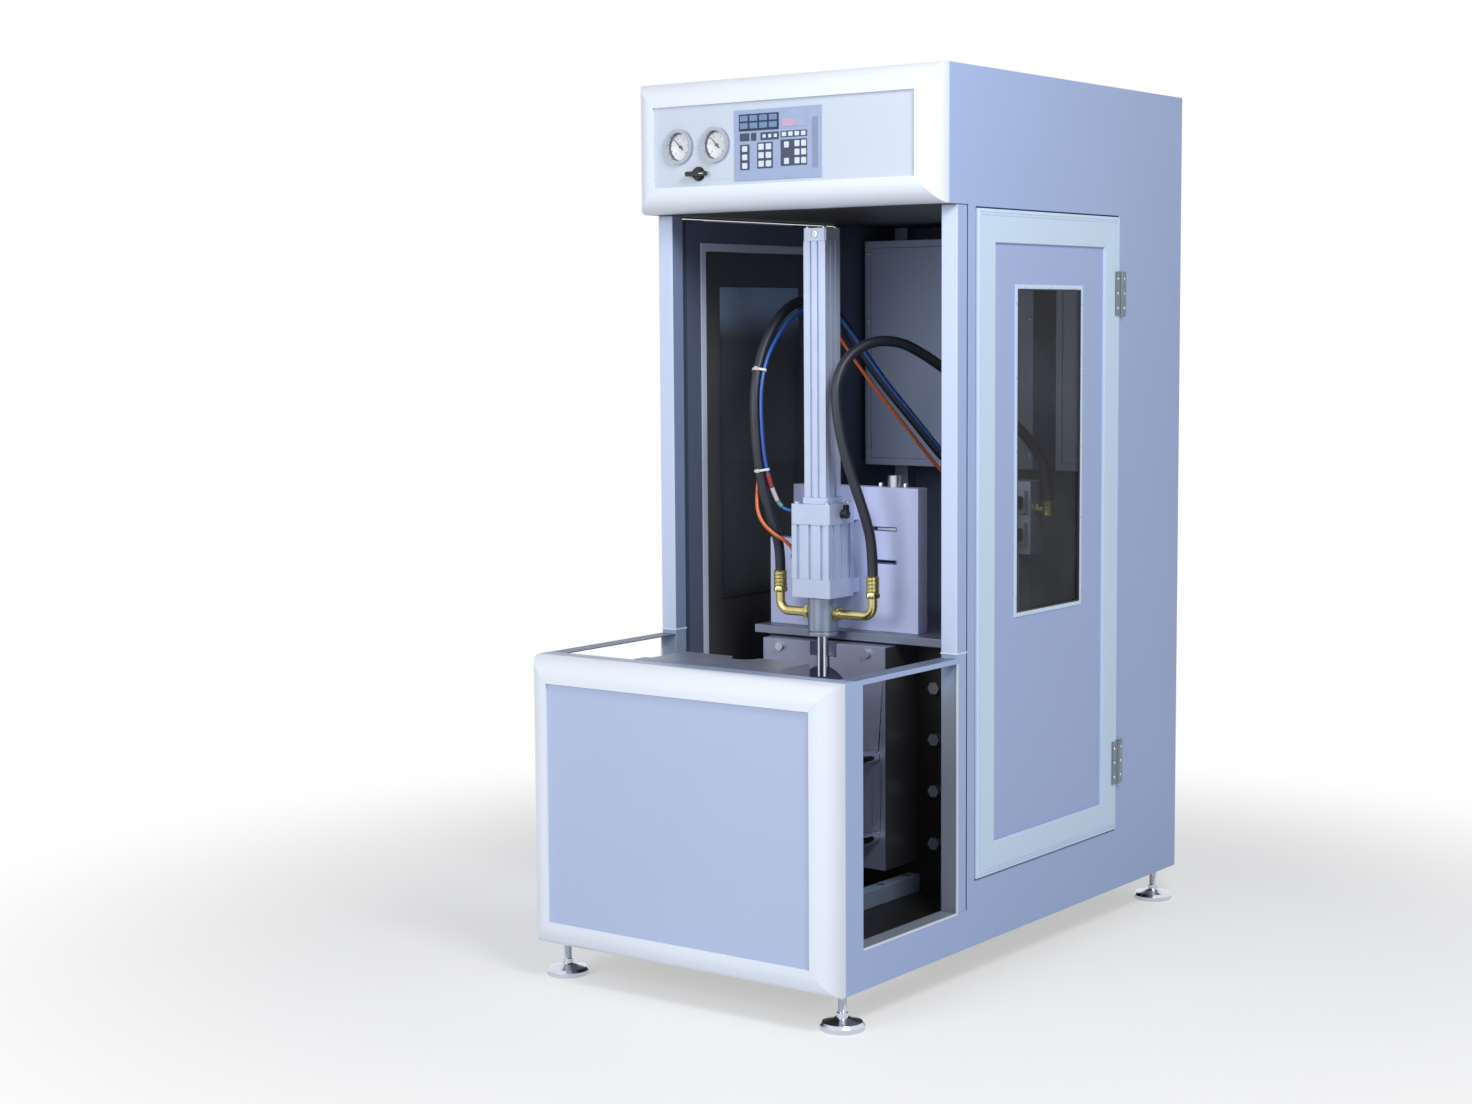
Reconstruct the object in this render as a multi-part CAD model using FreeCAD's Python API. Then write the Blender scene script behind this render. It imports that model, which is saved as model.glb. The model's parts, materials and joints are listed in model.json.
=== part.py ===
"""A semi-automatic stretch blow moulding machine.

A sheet-metal cabinet on levelling feet: a low base at the front, open at its top and sides, a tall
bay behind it with a glazed door on each side, and a header box that overhangs the bay. The base
holds a two-part bottle mould. Its rear half is fixed, and its front half is pulled shut by tie bars
from an air cylinder behind the rear platen. Over the mould stand two cylinders on one axis: the
lower one presses the blowing head on to the preform's neck, and the upper one drives the stretch
rod through it, down to the bottle's base.

Units are millimetres. +Z is up, the front faces -Y, and X is symmetric about the nozzle's axis. The
origin is on the floor, in the middle of the machine's width and depth.
"""
import FreeCAD, Part
import math
import os

Vector = FreeCAD.Vector

# ---- the cabinet ----
TOTAL_HEIGHT = 1850.0
BODY_WIDTH = 756.0
OVERALL_DEPTH = 1420.0
GROUND_CLEARANCE = 75.0
BASE_TOP = 674.0
HEADER_HEIGHT = 273.0
HEADER_SETBACK = 367.0
SHEET = 2.0
TUBE = 38.0
TUBE_WALL = 2.5
POST_INSET = 34.0
POST_JOINT_RISE = 10.0
FLANGE = 38.0
SIDE_OPENING_FRONT = 60.0
SIDE_OPENING_BOTTOM = 155.0
SIDE_OPENING_LIP = 10.0

# ---- the rounded edge profiles and the panels inside them ----
BEZEL_WIDTH = 53.0
BEZEL_DEPTH = 46.0
BEZEL_RADIUS = 42.0
BEZEL_WALL = 3.0
PANEL_RECESS = 6.0

# ---- the doors ----
DOOR_FRONT_MARGIN = 31.0
DOOR_WIDTH = 599.0
DOOR_LIFT = 138.0
DOOR_TOP_MARGIN = 6.0
DOOR_GAP = 3.0
DOOR_PROFILE_WIDTH = 67.0
DOOR_PROFILE_DEPTH = 30.0
DOOR_PROUD = 5.0
DOOR_PANEL_RECESS = 6.0
WINDOW_FRONT_MARGIN = 162.0
WINDOW_REAR_MARGIN = 169.0
WINDOW_SILL = 70.0
WINDOW_TOP_MARGIN = 159.0
PANE_THICKNESS = 4.0
PANE_MARGIN = 15.0
HINGE_HEIGHT = 96.0
HINGE_LOW_MARGIN = 152.0
HINGE_HIGH_MARGIN = 166.0
HINGE_LEAF = 2.5
HINGE_LEAF_WIDTH = 22.0
KNUCKLE_RADIUS = 5.5
HINGE_PIN_RADIUS = 3.0
HINGE_AXIS_BACK = 7.0
HINGE_CLEARANCE = 0.1

# ---- the mould and its clamp ----
BED_THICKNESS = 22.0
BED_WIDTH = 600.0
BED_REAR = 1110.0
RAIL_SPACING = 300.0
RAIL_WIDTH = 30.0
RAIL_HEIGHT = 37.0
PARTING_BACK = 475.0
MOULD_WIDTH = 314.0
MOULD_FLOOR_GAP = 28.0
MOULD_DROP = 2.0
MOULD_HALF_DEPTH = 122.0
MOULD_OPENING = 275.0
CAVITY_RADIUS = 80.0
CAVITY_FLOOR = 62.0
BASE_EDGE_RADIUS = 12.0
SHOULDER_HEIGHT = 75.0
SHOULDER_FULLNESS = (0.66, 0.62)
NECK_DEPTH = 52.0
NECK_RADIUS = 16.0
POCKET_CLEARANCE = 2.0
POCKET_DEPTH = 30.0
LOCATOR_SPACING = 222.0
LOCATOR_DROP = 16.0
LOCATOR_RADIUS = 9.0
LOCATOR_PROUD = 8.0
LOCATOR_CLEARANCE = 0.5
PLATEN_SCREW = 24.0
PLATEN_SCREW_HEIGHT = 12.0
PLATEN_SCREW_INSET = 25.0
PLATEN_SCREW_DROPS = (95.0, 205.0, 315.0, 428.0)
SHOE_MARGIN = 10.0
REAR_PLATEN_WIDTH = 460.0
REAR_PLATEN_THICKNESS = 45.0
FRONT_PLATEN_WIDTH = 330.0
FRONT_PLATEN_THICKNESS = 38.0
TIE_BAR_RADIUS = 15.0
TIE_BAR_SPACING = 256.0
TIE_BAR_LIFT = 70.0
TIE_BAR_RISE = 170.0
TIE_BAR_NUT = 46.0
TIE_BAR_NUT_THICKNESS = 18.0
TIE_BAR_TAIL = 4.0
CROSSHEAD_THICKNESS = 35.0
CROSSHEAD_MARGIN = 55.0
CROSSHEAD_SIDE_MARGIN = 37.0
CROSSHEAD_GAP = 18.0
CLAMP_BORE_RADIUS = 80.0
CLAMP_WALL = 4.0
CLAMP_CAP_SIZE = 190.0
CLAMP_FRONT_CAP = 30.0
CLAMP_REAR_CAP = 35.0
CLAMP_PISTON = 28.0
CLAMP_PISTON_START = 1.0
CLAMP_END_GAP = 6.0
CLAMP_ROD_RADIUS = 20.0
CLAMP_TIE_ROD_RADIUS = 6.0
CLAMP_TIE_ROD_INSET = 20.0
CLAMP_NUT = 19.0
CLAMP_NUT_THICKNESS = 9.0
CLAMP_ROD_TAIL = 12.0
SLIDE_CLEARANCE = 0.3

# ---- the blowing head ----
HEAD_PLATE_GAP = 4.0
HEAD_PLATE_THICKNESS = 18.0
HEAD_PLATE_LEFT = 205.0
HEAD_PLATE_RIGHT = 335.0
HEAD_PLATE_MARGIN = 20.0
RIB_THICKNESS = 12.0
RIB_HEIGHT = 110.0
RIB_REACH = 260.0
RIB_INSET = 40.0
BACK_PLATE_WIDTH = 380.0
BACK_PLATE_GAP = 26.0
BACK_PLATE_THICKNESS = 35.0
BACK_PLATE_HEIGHT = 306.0
BACK_PLATE_NOTCH_WIDTH = 62.0
BACK_PLATE_NOTCH_HEIGHT = 118.0
BRACKET_WIDTH = 80.0
BRACKET_INSET = 4.0
SLOT_LENGTH = 76.0
SLOT_HEIGHT = 9.0
SLOT_CENTRE = 98.0
SLOT_LIFTS = (148.0, 218.0)
ADJUSTER_X = 121.0
ADJUSTER_RADIUS = 15.0
ADJUSTER_HEIGHT = 25.0
SEAL_CYLINDER_SIZE = 98.0
SEAL_BARREL_STEP = 2.0
SEAL_LOWER_CAP = 39.0
SEAL_BARREL = 115.0
SEAL_UPPER_CAP = 43.0
SEAL_BORE_RADIUS = 40.0
SEAL_GROOVE_PITCH = 30.0
SEAL_GROOVE = 8.0
SEAL_GROOVE_DEPTH = 5.0
SEAL_PISTON = 25.0
SEAL_STROKE = 40.0
SEAL_BUFFER = 20.0
HOLLOW_ROD_RADIUS = 12.5
CAP_CHAMFER = 4.0
STRETCH_CYLINDER_SIZE = 55.0
STRETCH_CAP_SIZE = 57.0
STRETCH_FLANGE_SIZE = 64.0
STRETCH_FLANGE = 13.0
STRETCH_HEADROOM = 35.0
STRETCH_CAP = 27.0
STRETCH_BORE_RADIUS = 20.0
STRETCH_GROOVE_PITCH = 18.0
STRETCH_GROOVE = 5.0
STRETCH_GROOVE_DEPTH = 4.0
STRETCH_PISTON = 18.0
STRETCH_END_GAP = 7.0
STRETCH_ROD_RADIUS = 6.0
ROD_TIP_INSET = 6.0
NOZZLE_DEPTH = 72.0
HEAD_RADIUS = 32.0
HEAD_LIFT = 16.0
HEAD_HEIGHT = 80.0
HEAD_GAP = 3.0
HEAD_LIP = 8.0
HEAD_GROOVE = 2.0
ELBOW_LIFT = 47.0
ELBOW_LEFT = 110.0
ELBOW_RIGHT = 126.0
ELBOW_RADIUS = 10.0
ELBOW_BEND = 22.0
ELBOW_NUT = 27.0
ELBOW_NUT_THICKNESS = 12.0
ELBOW_RISE = 85.0
FERRULE_RADIUS = 14.0
FERRULE_LENGTH = 34.0

# ---- the air valves and their fittings ----
VALVE_X = 222.0
VALVE_WIDTH = 50.0
VALVE_BACK = 875.0
VALVE_DEPTH = 55.0
VALVE_LIFT = 146.0
VALVE_HEIGHT = 160.0
VALVE_STAND = 12.0
VALVE_FOOT = 8.0
VALVE_FOOT_REACH = 4.0
VALVE_INSET = 6.0
FITTING_WALL = 2.0
SMALL_FITTING_RADIUS = 7.0
VALVE_PORT_LENGTH = 10.0
LEFT_PORT = (28.0, 28.0)
BLUE_PORT = (12.0, 10.0)
ORANGE_PORT = (21.0, 60.0)
RISER_REACH = 28.0
RISER_BACK = 28.0
RISER_DROP = 42.0
RISER_HEIGHT = 33.0
RISER_ARM_DROP = 20.0
RISER_ARM_RADIUS = 9.0
RISER_NUT = 24.0
RISER_NUT_THICKNESS = 10.0
UPPER_PORT_DROP = 20.0
UPPER_PORT_LENGTH = 18.0
LOWER_PORT_LIFT = 24.0
LOWER_PORT_REACH = 23.0
LOWER_PORT_RISE = 41.0
LOWER_PORT_RADIUS = 6.0
SILENCER_RADIUS = 9.0
SILENCER_LENGTH = 16.0
SILENCER_PORT_REACH = 11.0

# ---- the electrical boxes and the rear panel's slots ----
BOX_DEPTH = 144.0
BOX_LIFT = 4.0
BOX_TOP_MARGIN = 37.0
BOX_SIDE_MARGIN = 10.0
BOX_POST_GAP = 8.0
BOX_INNER_EDGES = (98.0, 159.0)
LOUVRE_LENGTH = 120.0
LOUVRE_HEIGHT = 5.0
LOUVRE_PITCH = 22.0
LOUVRE_COUNT = 8
LOUVRE_MARGIN = 60.0

# ---- the header's instruments ----
GAUGE_DROP = 136.0
GAUGE_X = (-258.0, -163.0)
GAUGE_RING_RADIUS = 36.5
GAUGE_BODY_RADIUS = 31.0
GAUGE_FACE_RADIUS = 29.0
GAUGE_PROUD = 8.0
GAUGE_DEPTH = 35.0
GAUGE_FACE_DEPTH = 13.0
DIAL_THICKNESS = 1.0
LENS_INSET = 1.0
LENS_THICKNESS = 2.0
NEEDLE_ANGLE = 135.0
NEEDLE_TIP = 24.0
NEEDLE_TAIL = 9.0
NEEDLE_THICKNESS = 0.8
NEEDLE_LIFT = 3.0
NEEDLE_HUB_RADIUS = 3.0
NEEDLE_HUB_LIFT = 4.0
SELECTOR_X = -207.0
SELECTOR_DROP = 194.0
SELECTOR_RADIUS = 15.0
SELECTOR_RING = 3.0
SELECTOR_NECK_RADIUS = 11.0
SELECTOR_NECK = 12.0
SELECTOR_SWITCH = 30.0
SELECTOR_SWITCH_DEPTH = 34.0
KNOB_DISC_RADIUS = 12.0
KNOB_DISC = 6.0
KNOB_LENGTH = 52.0
KNOB_WIDTH = 10.0
KNOB_HEIGHT = 12.0
KNOB_CORNER = 4.0
MEMBRANE_LEFT = -114.0
MEMBRANE_WIDTH = 218.0
MEMBRANE_HEIGHT = 143.0
MEMBRANE_DROP = 70.0
MEMBRANE_RIM = 8.0
MEMBRANE_HOUSING = 38.0

# ---- the feet ----
FOOT_SIDE_INSET = 33.0
FOOT_FRONT_INSET = 36.0
FOOT_REAR_INSET = 46.0
PAD_RADIUS = 44.0
PAD_HEIGHT = 24.0
PAD_RIM = 10.0
PAD_ROUNDING = 2.0
PAD_NECK_RADIUS = 14.0
STEM_RADIUS = 8.0
STEM_COLLAR_RADIUS = 11.0
STEM_COLLAR = 9.0
FOOT_NUT = 24.0
FOOT_NUT_THICKNESS = 9.0

# ---- the air inlet ----
INLET_X = -250.0
INLET_HEIGHT = 320.0
INLET_RADIUS = 9.5
INLET_HEXAGON = 28.0
INLET_DEPTH = 32.0
INLET_FLANGE_RADIUS = 22.0
INLET_FLANGE = 4.0
INLET_NECK_RADIUS = 14.0

# ---- hoses, as points of their routes in this model's frame ----
HOSE_RADIUS = 11.0
TUBE_RADIUS = 4.0
RIGHT_HOSE = [
    (126, -189, 820), (126, -189, 884), (116, -204, 950), (98, -220, 1020), (80, -231, 1090),
    (68, -236, 1162), (62, -230, 1226), (71, -196, 1279), (94, -142, 1308), (122, -78, 1306),
    (144, -18, 1278), (168, 42, 1240), (204, 112, 1192), (252, 176, 1128), (288, 224, 1060),
    (300, 239, 1000), (300, 239, 958),
]
LEFT_HOSE = [
    (-110, -189, 820), (-110, -189, 872), (-120, -207, 930), (-132, -219, 990), (-141, -226, 1058),
    (-148, -227, 1140), (-153, -219, 1212), (-156, -194, 1278), (-153, -156, 1336),
    (-147, -108, 1380), (-135, -44, 1400), (-120, 20, 1382), (-106, 70, 1327), (-77, 102, 1260),
    (-46, 136, 1198), (-6, 168, 1136), (40, 200, 1064), (82, 222, 1014), (120, 234, 986),
    (165, 239, 972), (212, 239, 972),
]
BLUE_TUBE = [
    (-67, -189, 948), (-92, -189, 948), (-115, -193, 962), (-126, -200, 988), (-124, -209, 1018),
    (-123, -214, 1066), (-130, -213, 1140), (-135, -206, 1212), (-138, -184, 1272),
    (-136, -150, 1322), (-130, -110, 1360), (-119, -54, 1384), (-104, 6, 1374), (-90, 56, 1324),
    (-61, 90, 1258), (-30, 124, 1198), (9, 156, 1138), (54, 188, 1068), (98, 210, 1018),
    (140, 221, 994), (174, 223, 990), (212, 223, 990),
]
ORANGE_TUBE = [
    (-72, -189, 836), (-72, -189, 860), (-82, -201, 882), (-103, -218, 898), (-126, -229, 920),
    (-141, -230, 954), (-150, -229, 992), (-159, -227, 1058), (-165, -221, 1140),
    (-170, -211, 1212), (-173, -187, 1280), (-170, -149, 1338), (-164, -99, 1376),
    (-151, -38, 1390), (-136, 14, 1366), (-120, 54, 1310), (-88, 88, 1244), (-56, 122, 1182),
    (-16, 154, 1120), (30, 186, 1046), (74, 208, 992), (114, 222, 958), (158, 232, 940),
    (212, 232, 940),
]
CABLE_TIES = (((-139.6, -219.2, 1034.0), 22.7), ((-154.1, -198.2, 1246.0), 22.4))
CABLE_TIE_WIDTH = 5.0
CABLE_TIE_THICKNESS = 1.4

# ---- planes that follow from the sizes above ----
FRONT = -OVERALL_DEPTH / 2
REAR = OVERALL_DEPTH / 2
HALF = BODY_WIDTH / 2
INNER = HALF - SHEET
SIDE_FRONT = FRONT + BEZEL_DEPTH
HEADER_BOTTOM = TOTAL_HEIGHT - HEADER_HEIGHT
HEADER_BACK = SIDE_FRONT + HEADER_SETBACK
HEADER_FRONT = HEADER_BACK - BEZEL_DEPTH
HEADER_FACE = HEADER_FRONT + PANEL_RECESS
POST_FRONT = HEADER_BACK + POST_INSET
POST_REAR = POST_FRONT + TUBE
POST_JOINT_HEIGHT = BASE_TOP + POST_JOINT_RISE
REAR_INNER = REAR - SHEET
TUBE_INNER = INNER - TUBE
RING_TOP = GROUND_CLEARANCE + TUBE

DOOR_FRONT = POST_REAR + DOOR_FRONT_MARGIN
DOOR_REAR = DOOR_FRONT + DOOR_WIDTH
DOOR_BOTTOM = GROUND_CLEARANCE + DOOR_LIFT
DOOR_TOP = HEADER_BOTTOM - DOOR_TOP_MARGIN
DOOR_FACE = HALF + DOOR_PROUD
WINDOW_FRONT = DOOR_FRONT + WINDOW_FRONT_MARGIN
WINDOW_REAR = DOOR_REAR - WINDOW_REAR_MARGIN
WINDOW_BOTTOM = BASE_TOP + WINDOW_SILL
WINDOW_TOP = DOOR_TOP - WINDOW_TOP_MARGIN
HINGE_HEIGHTS = (DOOR_BOTTOM + HINGE_LOW_MARGIN, DOOR_TOP - HINGE_HIGH_MARGIN)

BED_TOP = RING_TOP + BED_THICKNESS
RAIL_TOP = BED_TOP + RAIL_HEIGHT
MOULD_BOTTOM = RAIL_TOP + MOULD_FLOOR_GAP
MOULD_TOP = BASE_TOP - MOULD_DROP
CAVITY_BOTTOM = MOULD_BOTTOM + CAVITY_FLOOR
NECK_BOTTOM = MOULD_TOP - NECK_DEPTH
SHOULDER_BOTTOM = NECK_BOTTOM - SHOULDER_HEIGHT
TIE_BAR_LOW = MOULD_BOTTOM + TIE_BAR_LIFT
TIE_BAR_HIGH = TIE_BAR_LOW + TIE_BAR_RISE
NOZZLE_Y = SIDE_FRONT + PARTING_BACK
PLATEN_Y = NOZZLE_Y + MOULD_HALF_DEPTH
CLAMP_Y = PLATEN_Y + REAR_PLATEN_THICKNESS
CLAMP_HEIGHT = (TIE_BAR_LOW + TIE_BAR_HIGH) / 2
CLAMP_BARREL_LENGTH = MOULD_OPENING + CLAMP_PISTON + CLAMP_PISTON_START + CLAMP_END_GAP
CLAMP_END_Y = CLAMP_Y + CLAMP_FRONT_CAP + CLAMP_BARREL_LENGTH + CLAMP_REAR_CAP
CROSSHEAD_Y = CLAMP_END_Y + CROSSHEAD_GAP
OPEN_PARTING_Y = NOZZLE_Y - MOULD_OPENING
FRONT_PLATEN_Y = OPEN_PARTING_Y - MOULD_HALF_DEPTH - FRONT_PLATEN_THICKNESS

HEAD_PLATE_BOTTOM = MOULD_TOP + HEAD_PLATE_GAP
HEAD_PLATE_TOP = HEAD_PLATE_BOTTOM + HEAD_PLATE_THICKNESS
BACK_PLATE_TOP = HEAD_PLATE_TOP + BACK_PLATE_HEIGHT
BACK_PLATE_Y = NOZZLE_Y + SEAL_CYLINDER_SIZE / 2 + BACK_PLATE_GAP
HEAD_BOTTOM = MOULD_TOP + HEAD_LIFT
HEAD_TOP = HEAD_BOTTOM + HEAD_HEIGHT
NOZZLE_BOTTOM = MOULD_TOP - NOZZLE_DEPTH
ELBOW_HEIGHT = HEAD_BOTTOM + ELBOW_LIFT
FERRULE_TOP = ELBOW_HEIGHT + ELBOW_RISE
SEAL_CAP_BOTTOM = HEAD_TOP + HEAD_GAP
SEAL_BARREL_BOTTOM = SEAL_CAP_BOTTOM + SEAL_LOWER_CAP
SEAL_BARREL_TOP = SEAL_BARREL_BOTTOM + SEAL_BARREL
SEAL_CAP_TOP = SEAL_BARREL_TOP + SEAL_UPPER_CAP
SEAL_PISTON_BOTTOM = SEAL_BARREL_BOTTOM + SEAL_BUFFER + SEAL_STROKE
STRETCH_TOP = HEADER_BOTTOM - STRETCH_HEADROOM
STRETCH_BARREL_TOP = STRETCH_TOP - STRETCH_CAP
STRETCH_BARREL_BOTTOM = SEAL_CAP_TOP + STRETCH_FLANGE
STRETCH_ROD_BOTTOM = NOZZLE_BOTTOM + ROD_TIP_INSET
ROD_BORE = HOLLOW_ROD_RADIUS + SLIDE_CLEARANCE
STRETCH_BORE = STRETCH_ROD_RADIUS + SLIDE_CLEARANCE

VALVE_Y = SIDE_FRONT + VALVE_BACK
VALVE_BOTTOM = HEAD_PLATE_TOP + VALVE_LIFT
VALVE_TOP = VALVE_BOTTOM + VALVE_HEIGHT
BOX_BOTTOM = BACK_PLATE_TOP + BOX_LIFT
BOX_TOP = HEADER_BOTTOM - BOX_TOP_MARGIN
GAUGE_HEIGHT = TOTAL_HEIGHT - GAUGE_DROP
SELECTOR_HEIGHT = TOTAL_HEIGHT - SELECTOR_DROP
MEMBRANE_TOP = TOTAL_HEIGHT - MEMBRANE_DROP
MEMBRANE_BOTTOM = MEMBRANE_TOP - MEMBRANE_HEIGHT
MEMBRANE_RIGHT = MEMBRANE_LEFT + MEMBRANE_WIDTH


def behind(distance):
    """Y of a plane that lies this far behind the front edge of the side panels."""
    return SIDE_FRONT + distance


# ---- basic solids ----
def block(x0, x1, y0, y1, z0, z1):
    return Part.makeBox(x1 - x0, y1 - y0, z1 - z0, Vector(x0, y0, z0))


def upright(x, y, z0, z1, radius):
    return Part.makeCylinder(radius, z1 - z0, Vector(x, y, z0), Vector(0, 0, 1))


def along_y(x, y0, y1, z, radius):
    return Part.makeCylinder(radius, y1 - y0, Vector(x, y0, z), Vector(0, 1, 0))


def along_x(x0, x1, y, z, radius):
    return Part.makeCylinder(radius, x1 - x0, Vector(x0, y, z), Vector(1, 0, 0))


def hexagon(centre, direction, across_flats, thickness):
    """A hexagonal nut or head that starts at centre and grows along direction."""
    corner = across_flats / math.sqrt(3)
    points = [
        Vector(corner * math.cos(math.radians(60 * k)), corner * math.sin(math.radians(60 * k)), 0)
        for k in range(7)
    ]
    prism = Part.Face(Part.makePolygon(points)).extrude(Vector(0, 0, thickness))
    turn = FreeCAD.Rotation(Vector(0, 0, 1), Vector(*direction))
    prism.Placement = FreeCAD.Placement(Vector(*centre), turn)
    return prism


def mirrored(shape):
    """The same shape on the other side of the machine."""
    return shape.mirror(Vector(0, 0, 0), Vector(1, 0, 0))


def both_sides(shape):
    return [shape, mirrored(shape)]


def extruded_face(points, direction):
    closed = [Vector(*point) for point in points]
    return Part.Face(Part.makePolygon(closed + closed[:1])).extrude(Vector(*direction))


def one_solid(shape):
    """The single solid of a finished cut or fuse, with its coplanar faces joined."""
    solids = shape.removeSplitter().Solids
    if len(solids) != 1:
        raise ValueError("expected one solid and got %d" % len(solids))
    return solids[0]


def save(name, *solids):
    shape = solids[0] if len(solids) == 1 else Part.makeCompound(list(solids))
    if not shape.isValid():
        raise ValueError(name + " is not a valid shape")
    shape.exportStep(os.path.join("parts", name + ".step"))


# ---- cabinet ----
def frame_tube(axis, x0, x1, y0, y1, z0, z1):
    """A length of square tube, open at both ends, that runs along the given axis."""
    inset = [TUBE_WALL, TUBE_WALL, TUBE_WALL]
    inset["xyz".index(axis)] = 0.0
    outer = block(x0, x1, y0, y1, z0, z1)
    return outer.cut(block(
        x0 + inset[0], x1 - inset[0], y0 + inset[1], y1 - inset[1], z0 + inset[2], z1 - inset[2]
    ))


def cross_tube(y0, z0):
    return frame_tube("x", -TUBE_INNER, TUBE_INNER, y0, y0 + TUBE, z0, z0 + TUBE)


def side_tubes(axis, y0, y1, z0, z1):
    return both_sides(frame_tube(axis, TUBE_INNER, INNER, y0, y1, z0, z1))


def make_frame():
    """The welded frame: each cut length of tube is a solid of its own."""
    rear_post_y = REAR_INNER - TUBE
    roof_rail = TOTAL_HEIGHT - SHEET - TUBE
    ceiling_top = HEADER_BOTTOM + SHEET
    front_rail = BASE_TOP - TUBE
    tubes = side_tubes("y", SIDE_FRONT, REAR_INNER, GROUND_CLEARANCE, RING_TOP)
    tubes += side_tubes("z", SIDE_FRONT, SIDE_FRONT + TUBE, RING_TOP, front_rail)
    tubes += side_tubes("z", POST_FRONT, POST_REAR, RING_TOP, POST_JOINT_HEIGHT)
    tubes += side_tubes("z", POST_FRONT, POST_REAR, POST_JOINT_HEIGHT, HEADER_BOTTOM)
    tubes += side_tubes("z", rear_post_y, REAR_INNER, RING_TOP, HEADER_BOTTOM)
    tubes += side_tubes("y", HEADER_BACK, REAR_INNER, ceiling_top, ceiling_top + TUBE)
    tubes += side_tubes("z", HEADER_BACK, HEADER_BACK + TUBE, ceiling_top + TUBE, roof_rail)
    tubes += side_tubes("z", rear_post_y, REAR_INNER, ceiling_top + TUBE, roof_rail)
    tubes += side_tubes("y", HEADER_BACK, REAR_INNER, roof_rail, roof_rail + TUBE)
    ring_crosses = (SIDE_FRONT, PLATEN_Y, behind(BED_REAR) - TUBE, rear_post_y)
    tubes += [cross_tube(y, GROUND_CLEARANCE) for y in ring_crosses]
    tubes += [cross_tube(y, ceiling_top) for y in (HEADER_BACK, rear_post_y)]
    tubes += [cross_tube(y, roof_rail) for y in (HEADER_BACK, rear_post_y)]
    tubes += [cross_tube(rear_post_y, z) for z in (BOX_BOTTOM, BOX_TOP - TUBE)]
    tubes.append(frame_tube(
        "x", -INNER, INNER, SIDE_FRONT, SIDE_FRONT + TUBE, front_rail, BASE_TOP
    ))
    save("frame", *tubes)


def make_right_side_panel():
    """One folded sheet: its outline steps up from the base to the header."""
    opening_top = BASE_TOP - SIDE_OPENING_LIP
    opening_front = behind(SIDE_OPENING_FRONT)
    outline = [
        (SIDE_FRONT, GROUND_CLEARANCE), (REAR, GROUND_CLEARANCE), (REAR, TOTAL_HEIGHT),
        (HEADER_BACK, TOTAL_HEIGHT), (HEADER_BACK, HEADER_BOTTOM), (POST_REAR, HEADER_BOTTOM),
        (POST_REAR, SIDE_OPENING_BOTTOM), (opening_front, SIDE_OPENING_BOTTOM),
        (opening_front, opening_top), (POST_FRONT, opening_top), (POST_FRONT, BASE_TOP),
        (SIDE_FRONT, BASE_TOP),
    ]
    sheet = extruded_face([(INNER, y, z) for y, z in outline], (SHEET, 0, 0))
    sheet = sheet.cut(block(
        INNER, HALF, DOOR_FRONT - DOOR_GAP, DOOR_REAR + DOOR_GAP,
        DOOR_BOTTOM - DOOR_GAP, DOOR_TOP + DOOR_GAP,
    ))
    flange_x = INNER - FLANGE
    top_flange = block(
        flange_x, INNER, SIDE_FRONT + TUBE, POST_FRONT, BASE_TOP - SHEET, BASE_TOP
    )
    bottom_flange = block(
        flange_x, INNER, opening_front, POST_FRONT, SIDE_OPENING_BOTTOM - SHEET,
        SIDE_OPENING_BOTTOM,
    )
    front_flange = block(
        flange_x + TUBE / 2, INNER, opening_front - SHEET, opening_front,
        SIDE_OPENING_BOTTOM - SHEET, opening_top,
    )
    return one_solid(sheet.fuse([top_flange, bottom_flange, front_flange]))


def make_cabinet_sheets():
    right = make_right_side_panel()
    save("right_side_panel", right)
    save("left_side_panel", mirrored(right))
    save("top_panel", block(
        -INNER, INNER, HEADER_BACK, REAR_INNER, TOTAL_HEIGHT - SHEET, TOTAL_HEIGHT
    ))
    save("header_ceiling", block(
        -INNER, INNER, HEADER_BACK, REAR_INNER, HEADER_BOTTOM, HEADER_BOTTOM + SHEET
    ))
    rear = block(-INNER, INNER, REAR_INNER, REAR, GROUND_CLEARANCE, TOTAL_HEIGHT)
    for slot in louvre_slots():
        rear = rear.cut(slot)
    rear = rear.cut(along_y(INLET_X, REAR_INNER, REAR, INLET_HEIGHT, INLET_NECK_RADIUS))
    save("rear_panel", one_solid(rear))


def louvre_slots():
    """Two columns of cooling slots behind the electrical boxes."""
    lowest = BOX_TOP - LOUVRE_MARGIN - (LOUVRE_COUNT - 1) * LOUVRE_PITCH
    half = LOUVRE_LENGTH / 2
    return [
        block(x - half, x + half, REAR_INNER, REAR, z, z + LOUVRE_HEIGHT)
        for x in (-LOUVRE_LENGTH, LOUVRE_LENGTH)
        for z in [lowest + k * LOUVRE_PITCH for k in range(LOUVRE_COUNT)]
    ]


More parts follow.
